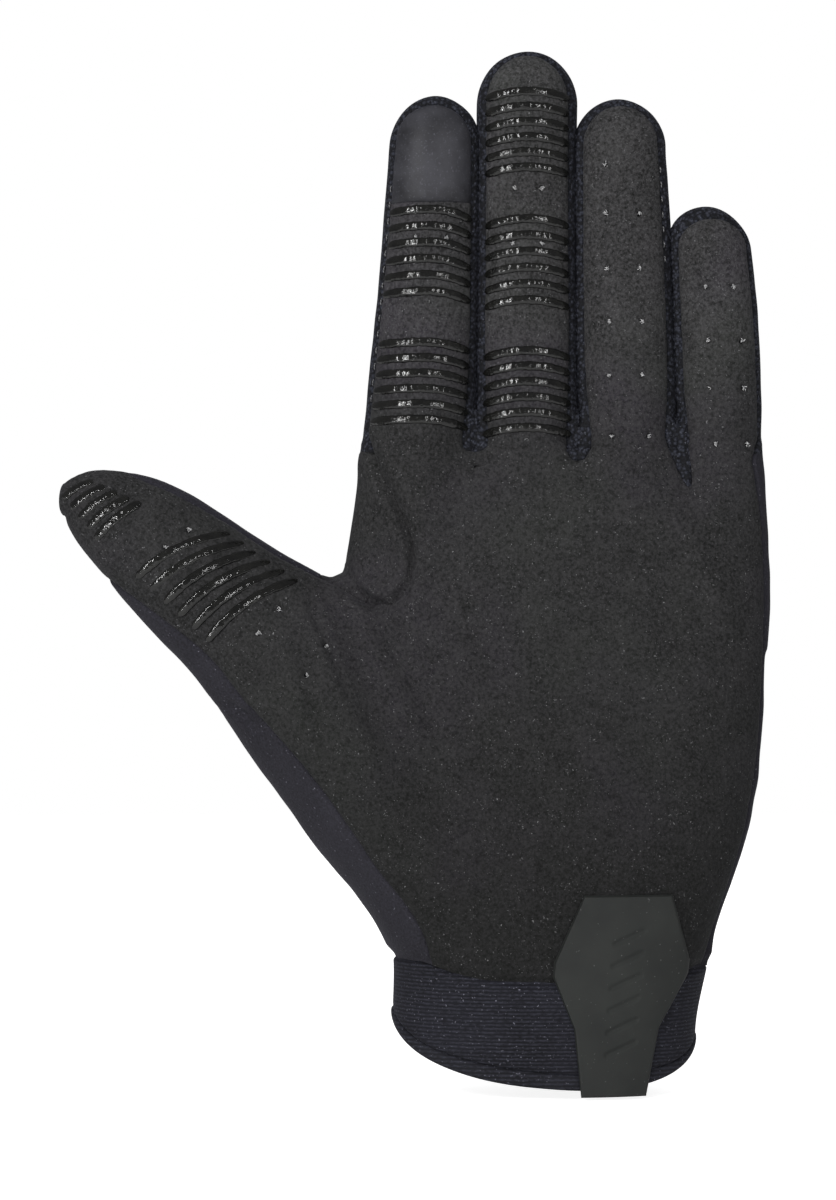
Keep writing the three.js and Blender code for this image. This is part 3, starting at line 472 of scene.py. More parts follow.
def split(table, faces, column):
    """Cuts the triangles where a column of the points' table changes sign. Points near it move onto it."""
    table = table.copy()
    values = table[:, column]
    total = len(table)

    def crossings(signs):
        pairs = np.sort(np.concatenate([faces[:, [0, 1]], faces[:, [1, 2]], faces[:, [2, 0]]]), 1)
        pairs = pairs[signs[pairs[:, 0]] * signs[pairs[:, 1]] < 0]
        code = np.unique(pairs[:, 0] * total + pairs[:, 1])
        low, high = code // total, code % total
        return code, low, high, values[low] / (values[low] - values[high])

    _, low, high, share = crossings(np.sign(values))
    at = table[low] + share[:, None] * (table[high] - table[low])
    for near, ends in ((share < 0.3, low), (share > 0.7, high)):
        table[ends[near]] = at[near]
        table[ends[near], column] = 0
    values = table[:, column]
    signs = np.where(np.abs(values) < 1e-7, 0, np.sign(values))
    code, low, high, share = crossings(signs)
    added = table[low] + share[:, None] * (table[high] - table[low])
    added[:, column] = 0

    def middle(one, two):
        return total + np.searchsorted(code, np.minimum(one, two) * total + np.maximum(one, two))

    side = signs[faces]
    mixed = (side.min(1) < 0) & (side.max(1) > 0)
    touching = mixed & (side == 0).any(1)
    clear = mixed & ~touching
    turn = np.argmax(side[touching] == 0, 1)
    a, b, c = np.take_along_axis(faces[touching], (turn[:, None] + np.arange(3)) % 3, 1).T
    m = middle(b, c)
    new = [np.stack(t, 1) for t in ((a, b, m), (a, m, c))]
    turn = np.argmax(side[clear] == -np.sign(side[clear].sum(1))[:, None], 1)
    a, b, c = np.take_along_axis(faces[clear], (turn[:, None] + np.arange(3)) % 3, 1).T
    ab, ac = middle(a, b), middle(a, c)
    new += [np.stack(t, 1) for t in ((a, ab, ac), (ab, b, c), (ab, c, ac))]
    return np.concatenate([table, added]), np.concatenate([faces[~mixed], *new])


def compact(points, faces):
    """Only the points that faces use."""
    used, back = np.unique(faces, return_inverse=True)
    return points[used], back.reshape(faces.shape)


def weld_with(points, extra, faces, distance):
    """Merges points that lie very close, keeps the largest connected part, and carries a value along."""
    mesh = bpy.data.meshes.new("weld")
    mesh.from_pydata(points.tolist(), [], faces.tolist())
    body = bmesh.new()
    body.from_mesh(mesh)
    layer = body.verts.layers.float.new("extra")
    body.verts.ensure_lookup_table()
    for vertex, value in zip(body.verts, extra):
        vertex[layer] = value
    bmesh.ops.remove_doubles(body, verts=body.verts, dist=distance)
    bmesh.ops.triangulate(body, faces=body.faces)
    body.verts.index_update()
    points = np.array([v.co[:] for v in body.verts])
    extra = np.array([v[layer] for v in body.verts])
    faces = np.array([[v.index for v in f.verts] for f in body.faces])
    body.free()
    bpy.data.meshes.remove(mesh)
    faces = faces[largest_part(len(points), faces)]
    used, back = np.unique(faces, return_inverse=True)
    return points[used], extra[used], back.reshape(faces.shape)


def largest_part(count, faces):
    """Marks the faces of the largest connected part of a mesh, without loose crumbs."""
    label = np.arange(count)
    while True:
        low = label[faces].min(1)
        new = label.copy()
        for k in range(3):
            np.minimum.at(new, faces[:, k], low)
        new = new[new]
        if (new == label).all():
            break
        label = new
    names, counts = np.unique(label[faces[:, 0]], return_counts=True)
    return label[faces[:, 0]] == names[counts.argmax()]


def thinned(points, faces, share):
    """A sheet with fewer triangles where it is plain."""
    mesh = bpy.data.meshes.new("thin")
    mesh.from_pydata((points * MM).tolist(), [], faces.tolist())
    thing = bpy.data.objects.new("thin", mesh)
    bpy.context.scene.collection.objects.link(thing)
    thing.modifiers.new("thin", "DECIMATE").ratio = share
    made = thing.evaluated_get(bpy.context.evaluated_depsgraph_get()).to_mesh()
    made.calc_loop_triangles()
    points = np.empty(len(made.vertices) * 3)
    made.vertices.foreach_get("co", points)
    faces = np.empty(len(made.loop_triangles) * 3, np.int32)
    made.loop_triangles.foreach_get("vertices", faces)
    bpy.data.objects.remove(thing)
    bpy.data.meshes.remove(mesh)
    return points.reshape(-1, 3) / MM, faces.reshape(-1, 3)


def border_edges(faces):
    """Directed edges that only one face uses."""
    edges = np.concatenate([faces[:, [k, (k + 1) % faces.shape[1]]] for k in range(faces.shape[1])])
    ordered = np.sort(edges, 1)
    _, first, count = np.unique(ordered, axis=0, return_index=True, return_counts=True)
    return edges[first[count == 1]]


def distance_to(points, targets):
    """Distance from each point to the nearest target."""
    tree = KDTree(len(targets))
    for n, point in enumerate(targets):
        tree.insert(point, n)
    tree.balance()
    return np.array([tree.find(point)[2] for point in points])


def shell(outer, inner, faces):
    """A closed solid from a sheet's outer and inner points, joined round the sheet's border."""
    count = len(outer)
    a, b = border_edges(faces).T
    rim = np.stack([b, a, a + count, b + count], 1)
    if faces.shape[1] == 3:
        rim = np.concatenate([rim[:, [0, 1, 2]], rim[:, [0, 2, 3]]])
    return np.concatenate([outer, inner]), np.concatenate([faces, faces[:, ::-1] + count, rim])


def thicken(points, faces, wall):
    """Gives a sheet a wall towards the inside."""
    return shell(points, points - vertex_normals(points, faces) * wall, faces)


def grid_faces(rows, columns, closed=False):
    """Quads of a grid of points, numbered row by row. A closed grid's rows are rings."""
    index = np.arange(rows * columns).reshape(rows, columns)
    if closed:
        index = np.concatenate([index, index[:, :1]], 1)
    a, b = index[:-1, :-1].ravel(), index[:-1, 1:].ravel()
    c, d = index[1:, 1:].ravel(), index[1:, :-1].ravel()
    return np.stack([a, b, c, d], 1)


def joined(parts):
    """One list of points and faces from several."""
    points, faces, start = [], [], 0
    for p, f in parts:
        points.append(p)
        faces.append(f + start)
        start += len(p)
    return np.concatenate(points), np.concatenate(faces)


def add_piece(name, points, faces, materials, nodes=(), slot=None, sharp=None, which=None):
    """A mesh object in metres that rides on the glove and stands for its nodes."""
    mesh = bpy.data.meshes.new(name)
    mesh.from_pydata((points * MM).tolist(), [], faces.tolist())
    mesh.polygons.foreach_set("use_smooth", np.ones(len(faces), bool))
    for material in materials:
        mesh.materials.append(material)
    if which is not None:
        mesh.polygons.foreach_set("material_index", which.astype(np.int32))
    mesh.validate()
    if sharp:
        mesh.set_sharp_from_angle(angle=math.radians(sharp))
    piece = bpy.data.objects.new(name, mesh)
    bpy.context.scene.collection.objects.link(piece)
    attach(piece, "root")
    if nodes:
        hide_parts(*nodes)
    return piece


# Materials


def colour(*levels):
    """An sRGB colour of 0 to 255 as linear numbers."""
    shares = [level / 255 for level in levels]
    linear = [c / 12.92 if c <= 0.04045 else ((c + 0.055) / 1.055) ** 2.4 for c in shares]
    return (*linear, 1.0)


class Surface:
    """A material's nodes, with short names for what is made often. Sizes are in millimetres."""

    def __init__(self, name):
        self.material = bpy.data.materials.new(name)
        self.material.use_nodes = True
        self.nodes = self.material.node_tree.nodes
        self.links = self.material.node_tree.links
        self.shader = self.nodes["Principled BSDF"]
        self.place = self.nodes.new("ShaderNodeTexCoord").outputs["Object"]

    def put(self, socket, value):
        if isinstance(value, bpy.types.NodeSocket):
            self.links.new(value, socket)
        else:
            socket.default_value = value

    def set(self, **values):
        for name, value in values.items():
            self.put(self.shader.inputs[name.replace("_", " ")], value)

    def node(self, kind, inputs=None, **settings):
        """A new node with its settings. Its inputs are set or linked, by name or number."""
        node = self.nodes.new("ShaderNode" + kind)
        for name, value in settings.items():
            setattr(node, name, value)
        for name, value in (inputs or {}).items():
            self.put(node.inputs[name], value)
        return node

    def scaled(self, x, y, z, turn=(0, 0, 0)):
        rotation = [math.radians(t) for t in turn]
        inputs = {"Scale": (x, y, z), "Rotation": rotation, "Vector": self.place}
        return self.node("Mapping", inputs).outputs["Vector"]

    def height(self):
        return self.node("SeparateXYZ", {0: self.place}).outputs["Z"]

    def noise(self, size, detail=2.0, rough=0.5, place=None):
        inputs = {"Scale": 1000 / size, "Detail": detail, "Roughness": rough, "Vector": place or self.place}
        return self.node("TexNoise", inputs).outputs["Fac"]

    def cells(self, size):
        return self.node("TexVoronoi", {"Scale": 1000 / size, "Vector": self.place}).outputs["Distance"]

    def bands(self, pitch, axis, distort):
        scale = 1000 / pitch * math.pi / 10
        inputs = {"Scale": scale, "Distortion": distort, "Detail": 1.0, "Detail Scale": 2.0}
        inputs["Vector"] = self.place
        return self.node("TexWave", inputs, bands_direction=axis, wave_profile="SIN").outputs["Fac"]

    def ramp(self, value, low, high, from_low=0.0, to_high=1.0):
        """The value from low to high as a share, from one number to another."""
        inputs = {"From Min": low, "From Max": high, "To Min": from_low, "To Max": to_high, "Value": value}
        return self.node("MapRange", inputs, clamp=True).outputs["Result"]

    def math(self, operation, a, b):
        return self.node("Math", {0: a, 1: b}, operation=operation).outputs[0]

    def blend(self, share, a, b, strength=1.0):
        """Colour a turning into colour b by the share, or by a part of it."""
        if strength != 1:
            share = self.math("MULTIPLY", share, strength)
        node = self.node("Mix", {"Factor": share}, data_type="RGBA")
        first, second = (socket for socket in node.inputs if socket.type == "RGBA")
        self.put(first, a)
        self.put(second, b)
        return next(socket for socket in node.outputs if socket.type == "RGBA")

    def bump(self, height, strength, depth, below=None):
        inputs = {"Strength": strength, "Distance": depth * MM, "Height": height}
        if below:
            inputs["Normal"] = below
        return self.node("Bump", inputs).outputs["Normal"]


def suede():
    """Short dark nap with soft patches, darker lower down over the palm, and pale specks of lint."""
    s = Surface("suede")
    patches = s.ramp(s.noise(28, 3.0, 0.6), 0.43, 0.57)
    tints = s.ramp(s.noise(45, 2.0, 0.5, s.scaled(1, 1, 1, (40, 0, 25))), 0.42, 0.58)
    clouds = s.ramp(s.noise(7, 3.0, 0.6), 0.4, 0.66)
    tufts = s.ramp(s.noise(1.5, 3.0, 0.7), 0.35, 0.7)
    nap = s.ramp(s.noise(0.65, 3.0, 0.75), 0.36, 0.66)
    pits = s.ramp(s.noise(0.9, 2.0, 0.7, s.scaled(1, 1, 1, (10, 30, 0))), 0.5, 0.34, 0.0, 0.55)
    base = s.blend(tints, colour(38, 41, 37), colour(42, 38, 46))
    base = s.blend(patches, colour(18, 19, 18), base)
    base = s.blend(clouds, base, colour(56, 55, 55), 0.4)
    base = s.blend(tufts, base, colour(68, 67, 67), 0.35)
    base = s.blend(nap, base, colour(86, 85, 87), 0.62)
    base = s.blend(pits, base, colour(13, 13, 12))
    # Darker lower down the hand: a little from partway up the fingers down over the palm, and more again
    # towards the wrist.
    height = s.height()
    base = s.blend(s.ramp(height, 0.148, 0.182, 0.42, 0.0), base, colour(19, 20, 19))
    base = s.blend(s.ramp(height, 0.03, 0.115, 0.5, 0.0), base, colour(16, 17, 15))
    specks = s.ramp(s.noise(0.4, 1.0, 0.5), 0.68, 0.75)
    rare = s.ramp(s.noise(2.2, 1.0, 0.5), 0.42, 0.66)
    base = s.blend(s.math("MULTIPLY", specks, rare), base, colour(150, 150, 152), 0.6)
    grain = s.bump(s.noise(0.6, 3.0, 0.75), 0.7, 0.14)
    grain = s.bump(s.noise(4, 3.0, 0.6), 0.6, 0.3, grain)
    s.set(Base_Color=base, Roughness=0.9, Specular_IOR_Level=0.25, Normal=grain)
    s.set(Sheen_Weight=0.07, Sheen_Roughness=0.45, Sheen_Tint=colour(190, 192, 200))
    return s.material


def touch_leather():
    """Smooth greyish leather with a fine grain, whose light patches and pale flecks are a painted, mottled
    sheen.
    """
    s = Surface("touch_leather")
    # Lighter and darker patches: painted mottled sheen.
    patches = s.ramp(s.noise(9, 3.0, 0.6), 0.3, 0.7)
    base = s.blend(patches, colour(30, 30, 33), colour(62, 62, 67))
    # Pale flecks: painted sparkles of the sheen.
    painted_sparkle = s.ramp(s.noise(0.5, 2.0, 0.6), 0.6, 0.75)
    base = s.blend(painted_sparkle, base, colour(110, 110, 120), 0.4)
    grain = s.bump(s.noise(0.45, 3.0, 0.6), 0.4, 0.06)
    s.set(Base_Color=base, Roughness=0.55, Specular_IOR_Level=0.4, Normal=grain)
    s.set(Sheen_Weight=0.1, Sheen_Roughness=0.4, Sheen_Tint=colour(180, 180, 205))
    return s.material


def knit():
    """Fine, slightly violet stretch knit."""
    s = Surface("knit")
    weave = s.ramp(s.noise(0.5, 2.0, 0.6), 0.3, 0.7)
    patches = s.ramp(s.noise(22, 2.0, 0.5), 0.35, 0.65)
    base = s.blend(patches, colour(26, 25, 29), colour(36, 35, 40))
    base = s.blend(weave, base, colour(60, 59, 68), 0.5)
    lint = s.ramp(s.noise(0.5, 1.0, 0.5), 0.73, 0.78)
    base = s.blend(lint, base, colour(140, 140, 150), 0.5)
    relief = s.bump(weave, 0.4, 0.07)
    relief = s.bump(s.noise(5, 2.0, 0.5), 0.3, 0.12, relief)
    s.set(Base_Color=base, Roughness=0.85, Specular_IOR_Level=0.3, Normal=relief)
    s.set(Sheen_Weight=0.06, Sheen_Roughness=0.4, Sheen_Tint=colour(180, 178, 198))
    return s.material


def mesh_knit():
    """Coarse knitted loops, with painted shade in the gaps between them and painted highlights on the loops.
    """
    s = Surface("mesh_knit")
    loops = s.cells(1.0)
    gap_shade = s.ramp(loops, 0.12, 0.6)
    twist = s.ramp(s.noise(0.45, 2.0, 0.6), 0.35, 0.7)
    # Painted shade: the gaps between the loops go near black.
    base = s.blend(gap_shade, colour(47, 49, 58), colour(9, 9, 12))
    # Painted highlights on the loops, broken up by noise along them.
    loop_highlight = s.ramp(gap_shade, 0.2, 0.9, 1.0, 0.2)
    base = s.blend(s.math("MULTIPLY", twist, loop_highlight), base, colour(76, 79, 90), 0.6)
    lint = s.ramp(s.noise(0.5, 1.0, 0.5), 0.7, 0.76)
    base = s.blend(lint, base, colour(110, 114, 125), 0.5)
    relief = s.bump(s.ramp(loops, 0.0, 0.6, 1.0, 0.0), 1.0, 0.5)
    relief = s.bump(s.noise(0.5, 2.0, 0.6), 0.5, 0.12, relief)
    s.set(Base_Color=base, Roughness=0.8, Specular_IOR_Level=0.35, Normal=relief)
    s.set(Sheen_Weight=0.06, Sheen_Roughness=0.4, Sheen_Tint=colour(170, 172, 195))
    return s.material


def cuff_knit(name, dark, light, pitch):
    """Ribbed knit whose ribs run round the wrist."""
    s = Surface(name)
    ribs = s.bands(pitch, "Z", 0.9)
    loops = s.noise(0.7, 2.0, 0.6, s.scaled(0.7, 0.7, 1.4))
    patches = s.ramp(s.noise(16, 2.0, 0.5), 0.35, 0.65)
    base = s.blend(patches, dark, light)
    share = s.math("MULTIPLY", ribs, s.ramp(loops, 0.3, 0.65))
    base = s.blend(share, base, colour(66, 67, 78), 0.55)
    lint = s.ramp(s.noise(0.42, 1.0, 0.5), 0.7, 0.76)
    base = s.blend(lint, base, colour(150, 150, 165), 0.6)
    relief = s.bump(ribs, 0.6, 0.12)
    relief = s.bump(loops, 0.5, 0.12, relief)
    s.set(Base_Color=base, Roughness=0.85, Specular_IOR_Level=0.3, Normal=relief)
    s.set(Sheen_Weight=0.06, Sheen_Roughness=0.4, Sheen_Tint=colour(175, 175, 200))
    return s.material


def silicone():
    """Glossy black silicone with an uneven skin, so that its gloss breaks up."""
    s = Surface("silicone")
    smear = s.ramp(s.noise(3, 2.0, 0.5), 0.35, 0.65)
    base = s.blend(smear, colour(15, 15, 14), colour(24, 24, 22))
    rough = s.ramp(s.noise(0.9, 2.0, 0.6), 0.3, 0.7, 0.07, 0.2)
    beads = s.bump(s.noise(0.8, 2.0, 0.55), 0.7, 0.16)
    s.set(Base_Color=base, Roughness=rough, Specular_IOR_Level=0.75, Normal=beads)
    return s.material


def rubber():
    """Matt dark rubber with a little dust."""
    s = Surface("rubber")
    patches = s.ramp(s.noise(12, 3.0, 0.6), 0.3, 0.7)
    base = s.blend(patches, colour(36, 38, 37), colour(45, 47, 45))
    dust = s.ramp(s.noise(0.6, 1.0, 0.5), 0.74, 0.79)
    base = s.blend(dust, base, colour(120, 120, 120), 0.5)
    grain = s.bump(s.noise(0.35, 2.0, 0.6), 0.25, 0.03)
    s.set(Base_Color=base, Roughness=0.62, Specular_IOR_Level=0.4, Normal=grain)
    return s.material


def thread(name, dark, light):
    """Twisted thread."""
    s = Surface(name)
    ply = s.bands(0.35, "DIAGONAL", 0.4)
    s.set(Base_Color=s.blend(ply, dark, light), Roughness=0.6, Normal=s.bump(ply, 0.5, 0.05))
    return s.material


SUEDE, TOUCH, KNIT, MESH_KNIT = suede(), touch_leather(), knit(), mesh_knit()
CUFF = cuff_knit("cuff_knit", colour(16, 16, 20), colour(26, 26, 32), 0.85)
HEM = cuff_knit("hem_knit", colour(23, 23, 27), colour(32, 32, 37), 0.95)
SILICONE, RUBBER = silicone(), rubber()
THREAD = thread("thread", colour(60, 60, 62), colour(128, 128, 130))
FRAY = thread("fray", colour(130, 130, 132), colour(205, 205, 205))


# Seams in the front view


def curve(points, steps=8):
    """A smooth line through points."""
    points = np.asarray(points, float)
    ends = np.concatenate([[2 * points[0] - points[1]], points, [2 * points[-1] - points[-2]]])
    out = []
    for a, b, c, d in zip(ends, ends[1:], ends[2:], ends[3:]):
        square, cube = 2 * a - 5 * b + 4 * c - d, 3 * b - a - 3 * c + d
        for t in np.arange(steps) / steps:
            out.append(0.5 * (2 * b + (c - a) * t + square * t**2 + cube * t**3))
    return np.array([*out, points[-1]])


def finger_edge(n, height, side):
    """The suede's edge along a finger's side."""
    outer = (n == 0 and side < 0) or (n == 3 and side > 0)
    fade = 0 if outer else np.maximum(0, 1 - np.maximum(0, height) / (CROTCH_REACH * FINGER_LENGTH[n]))
    half = half_width(n, height) - EDGE_INSET - CROTCH_INSET * fade**2
    return np.stack([finger_x(n, height) + side * half, PALM_LENGTH + height], -1)


def finger_outline(n):
    """The suede's edge up a finger, round its tip and down again."""
    straight = tip_start(n)
    heights = np.linspace(0.03, 1, 16) * straight
    angles = np.radians(np.linspace(170, 10, 17))
    half = half_width(n, straight) - EDGE_INSET
    rise = FINGER_LENGTH[n] - straight - TIP_RIM[n]
    tip = np.stack([
        finger_x(n, straight) + half * np.cos(angles),
        PALM_LENGTH + straight + rise * np.sin(angles),
    ], 1)
    return [finger_edge(n, heights, -1), tip, finger_edge(n, heights, 1)[::-1]]


def notch_centre(n):
    """The middle of the gap between a finger and the next, at the knuckles."""
    return float(finger_edge(n, 0.0, 1)[0] + finger_edge(n + 1, 0.0, -1)[0]) / 2


def notch(n):
    """The suede's edge round the foot of the mesh strip between two fingers."""
    depth, width, lean, power = NOTCHES[n]
    centre = notch_centre(n)
    down = np.linspace(0, 1, 15)
    middle = centre + lean * down
    half = width / 2 * np.sqrt(np.clip(1 - down**power, 0, 1)) + 0.05
    left = np.stack([middle - half, PALM_LENGTH - depth * down], 1)
    right = np.stack([middle + half, PALM_LENGTH - depth * down], 1)
    return [left, right[::-1]]


def palm_side(up):
    """The suede's edge along the palm's outer side."""
    z = mix(CUFF_HEIGHT, PALM_LENGTH, up)
    return np.stack([RIGHT_X(z) - EDGE_INSET, z], -1)


def thumb_side(number, share, inset=0.0):
    """A point beside a thumb section: share of its half width to the upper side, less an inset."""
    out, up, half = THUMB_ROWS[number][:3]
    points = [(-row[0] * THUMB_REACH, row[1] * THUMB_RISE) for row in THUMB_ROWS]
    points.append((-THUMB_REACH, THUMB_RISE))
    way = np.subtract(points[number + 1], points[max(0, number - 1)])
    way = way / np.linalg.norm(way)
    reach = half * THUMB_WIDTH / 2 * share
    reach -= math.copysign(inset, share)
    return np.array([-out * THUMB_REACH + way[1] * reach, up * THUMB_RISE - way[0] * reach])


BELOW_RIM = -10.0
SEAM_GUSSET = curve([
    (KNUCKLE_LEFT + right * KNUCKLE_HALF, up * PALM_LENGTH) for right, up in GUSSET_SEAM
], 6)


def suede_outline():
    """The suede panel's whole edge in the front view."""
    low = [thumb_side(n, -share) for n, share in THUMB_SUEDE_LOW.items()]
    heel_x = LEFT_X(CUFF_HEIGHT) + HEEL_INSET
    heel = [(heel_x - 6, BELOW_RIM), (heel_x, CUFF_HEIGHT)]
    tip = [(-THUMB_REACH - THUMB_TIP_WRAP, THUMB_RISE), thumb_side(8, 1.25)]
    high = [thumb_side(n, 1.0, THUMB_INSET) for n in (7, 6, 5, 4, 3)]
    parts = [curve([*heel, *low, *tip, *high], 8), SEAM_GUSSET[::-1]]
    for n in range(4):
        parts += finger_outline(n)
        if n < 3:
            parts += notch(n)
    parts.append(palm_side(np.linspace(0.97, 0, 24)))
    parts.append(np.array([[RIGHT_X(CUFF_HEIGHT) - EDGE_INSET, BELOW_RIM]]))
    return np.concatenate(parts)


def signed_distance(x, z, outline):
    """Distance to a closed outline in the front view, positive inside."""
    ends = np.roll(outline, -1, 0)
    best = np.full(len(x), 1e9)
    inside = np.zeros(len(x), bool)
    for (ax, az), (bx, bz) in zip(outline, ends):
        dx, dz = bx - ax, bz - az
        length = dx * dx + dz * dz
        if length < 1e-9:
            continue
        t = np.clip(((x - ax) * dx + (z - az) * dz) / length, 0, 1)
        best = np.minimum(best, (x - ax - t * dx) ** 2 + (z - az - t * dz) ** 2)
        if dz:
            crosses = (az > z) != (bz > z)
            inside ^= crosses & (x < ax + (z - az) / dz * dx)
    return np.sqrt(best) * np.where(inside, 1, -1)


def between_fingers(n):
    """The area of the mesh strip between two fingers."""
    depth, width, lean, _ = NOTCHES[n]
    top = min(tip_start(n), tip_start(n + 1))
    foot = PALM_LENGTH - depth - EDGE_INSET
    heights = np.linspace(0, top, 9)
    left = np.stack([finger_x(n, heights), PALM_LENGTH + heights], 1)
    right = np.stack([finger_x(n + 1, heights), PALM_LENGTH + heights], 1)
    foot_x, foot_half = notch_centre(n) + lean, width / 2 + EDGE_INSET
    return np.concatenate([[(foot_x + foot_half, foot)], right, left[::-1], [(foot_x - foot_half, foot)]])


def middle_y(x, z):
    """The surface through the middle of the fingers and the thumb, where front and back part."""
    place, _, _ = thumb_place(x, z)
    thumb = -thumb_row(place)[5] * THUMB_FORWARD
    on_thumb = smoothstep((KNUCKLE_LEFT * 0.7 - x) / 18) * (z < PALM_LENGTH)
    return np.where(z > PALM_LENGTH, finger_y(z - PALM_LENGTH), mix(0, thumb, on_thumb))


def cuff_line(x):
    """Where the panels end above the cuff band, which sags in front."""
    share = (x - WRIST_HALF * CUFF_SAG_CENTRE) / (WRIST_HALF * CUFF_SAG_REACH)
    return CUFF_HEIGHT - CUFF_SAG * np.maximum(0, 1 - share * share)


def sheet_height(x, y, front, side, back):
    """Height of a sheet bent along the wrist's middle plane, as the rim and the hem's top run."""
    far = (np.sqrt(y * y + 9) - 3) / (WRIST_DEPTH / 2)
    raised = RIM_TILT * RIM_TILT / (2 * RIM_RISE)
    return side + (np.where(y < 0, front, back) - side) * far - x * RIM_TILT / WRIST_HALF + raised


def rim_height(x, y):
    """The glove's lower rim."""
    return sheet_height(x, y, 0.0, RIM_RISE, RIM_RISE - RIM_DIP_BACK)


def hem_top(x, y):
    """The hem's upper edge."""
    side = RIM_RISE + HEM_HEIGHT - HEM_NARROWING
    return sheet_height(x, y, HEM_HEIGHT, side, RIM_RISE - RIM_DIP_BACK + HEM_HEIGHT)


# Air holes

HOLE_RADIUS = 0.62
# finger, up (share of its length), left and right (shares of its half width)
FINGER_HOLES = (
    (0, 0.589, -0.3, 0.37), (0, 0.428, -0.37, 0.24), (1, 0.647, -0.29, 0.3), (1, 0.508, -0.32, 0.32),
    (2, 0.806, -0.38, 0.36), (2, 0.665, -0.38, 0.37), (2, 0.507, -0.38, 0.34), (2, 0.354, -0.36, 0.36),
    (2, 0.2, -0.38, 0.32), (2, 0.024, -0.36, 0.44), (3, 0.655, -0.26, 0.44), (3, 0.43, -0.27, 0.56),
    (3, 0.233, -0.25, 0.56), (3, 0.0, -0.16, 0.62),
)
# out and up, as shares of the thumb's reach and rise
THUMB_HOLES = (
    (0.765, 0.918), (0.718, 0.948), (0.577, 0.775), (0.535, 0.815), (0.478, 0.705), (0.44, 0.753),
)


def hole_places():
    """The air holes in the front view."""
    places = []
    for n, up, left, right in FINGER_HOLES:
        height = up * FINGER_LENGTH[n]
        for share in (left, right):
            x = float(finger_x(n, height)) + share * float(half_width(n, height))
            places.append((x, PALM_LENGTH + height))
    places += [(-out * THUMB_REACH, up * THUMB_RISE) for out, up in THUMB_HOLES]
    return np.array(places)


HOLES = hole_places()

# The cloth surface, cut into panels


def worn_surface():
    """The worn form's surface as triangles, fingers closed."""
    low = np.array(FIELD_LOW)
    axes = [np.arange(low[k], FIELD_HIGH[k], CELL) for k in range(3)]
    x, y, z = axes[0][:, None, None], axes[1][None, :, None], axes[2][None, None, :]
    values = np.broadcast_to(hand_field(x, y, z), [len(a) for a in axes])
    points, quads = surface_net(values, low, CELL)
    # Two steps along the slope bring the points onto the form itself
    for _ in range(2):
        here = np.clip(hand_field(*points.T), -0.5, 0.5)
        slope = gradient(hand_field, points, 0.1)
        size = np.maximum((slope**2).sum(1), 0.3)
        points -= slope * (here / size * (points[:, 2] > low[2] + 2))[:, None]
    return close_fingers(points), triangles_of(points, quads)


# from and to in the front view, half width, share of FOLD_HEIGHT
PALM_FOLDS = (
    ((-49, 117), (-20, 70), 3.2, 0.55), ((-45, 121), (-4, 84), 3.6, 0.5), ((-52, 112), (-36, 62), 3.0, 0.5),
    ((-41, 119), (10, 104), 3.4, 0.35), ((-60, 108), (-48, 70), 2.6, 0.4), ((30, 140), (44, 96), 4.0, 0.4),
    ((-24, 142), (4, 132), 3.0, 0.3), ((-46, 123), (-30, 100), 1.3, -0.3), ((-52, 116), (-44, 84), 1.2, -0.3),
    ((-75, 89), (-60, 79), 1.3, -0.35), ((-70, 90), (-58, 84), 1.1, 0.25),
)
# place in the front view, half width, depth
DIMPLES = ((-35.5, 118.5, 4.2, 1.5), (38, 138, 3.0, 0.5), (-4, 141, 5.0, 0.4), (20, 139, 4.0, 0.4))
FOLD_HEIGHT, FOLD_BEND = 3.1, 1.6
# size and seed, then height on the palm and on the fingers
UNDULATION = ((15, 3, 0.26, 0.14), (5, 4, 0.1, 0.06))


def seam_relief(x, y, z):
    """A valley along the gusset's curved seam, with a low swell on both sides of it."""
    off_seam = np.full(len(x), 9.0)
    close = (y < 0) & (x < SEAM_GUSSET[:, 0].max() + 4) & (np.abs(z - SEAM_GUSSET[:, 1].mean()) < 24)
    near = np.column_stack([x[close], 0 * x[close], z[close]])
    off_seam[close] = distance_to(near, np.insert(SEAM_GUSSET, 1, 0, axis=1))
    valley = SEAM_SINK * np.exp(-((off_seam / SEAM_WIDTH) ** 2))
    return SEAM_SWELL * np.exp(-(((off_seam - SWELL_AWAY) / SWELL_WIDTH) ** 2)) - valley


def folds(points):
    """How far the cloth stands out from the plain form: soft undulation, folds and dents."""
    x, y, z = points.T
    on_fingers = smoothstep((z - PALM_LENGTH) / 8)
    out = np.zeros(len(points))
    for size, seed, palm, finger in UNDULATION:
        out += mix(palm, finger, on_fingers) * waves(points, size, seed)
    for (ax, az), (bx, bz), wide, tall in PALM_FOLDS:
        along = np.array([bx - ax, bz - az], float)
        length = np.linalg.norm(along)
        along /= length
        t = ((x - ax) * along[0] + (z - az) * along[1]) / length
        bend = FOLD_BEND * np.sin(3.1 * t + ax)
        off = (x - ax) * along[1] - (z - az) * along[0] + bend
        fade = smoothstep(t * 4) * smoothstep((1 - t) * 2.5)
        out += FOLD_HEIGHT * tall * np.exp(-((off / wide) ** 2)) * fade * (y < 0)
    for dx, dz, wide, deep in DIMPLES:
        out -= deep * np.exp(-(((x - dx) / wide) ** 2 + ((z - dz) / wide) ** 2)) * (y < 0)
    return out + seam_relief(x, y, z)


points, faces = worn_surface()
normals = vertex_normals(points, faces)
points = points + normals * folds(points)[:, None]

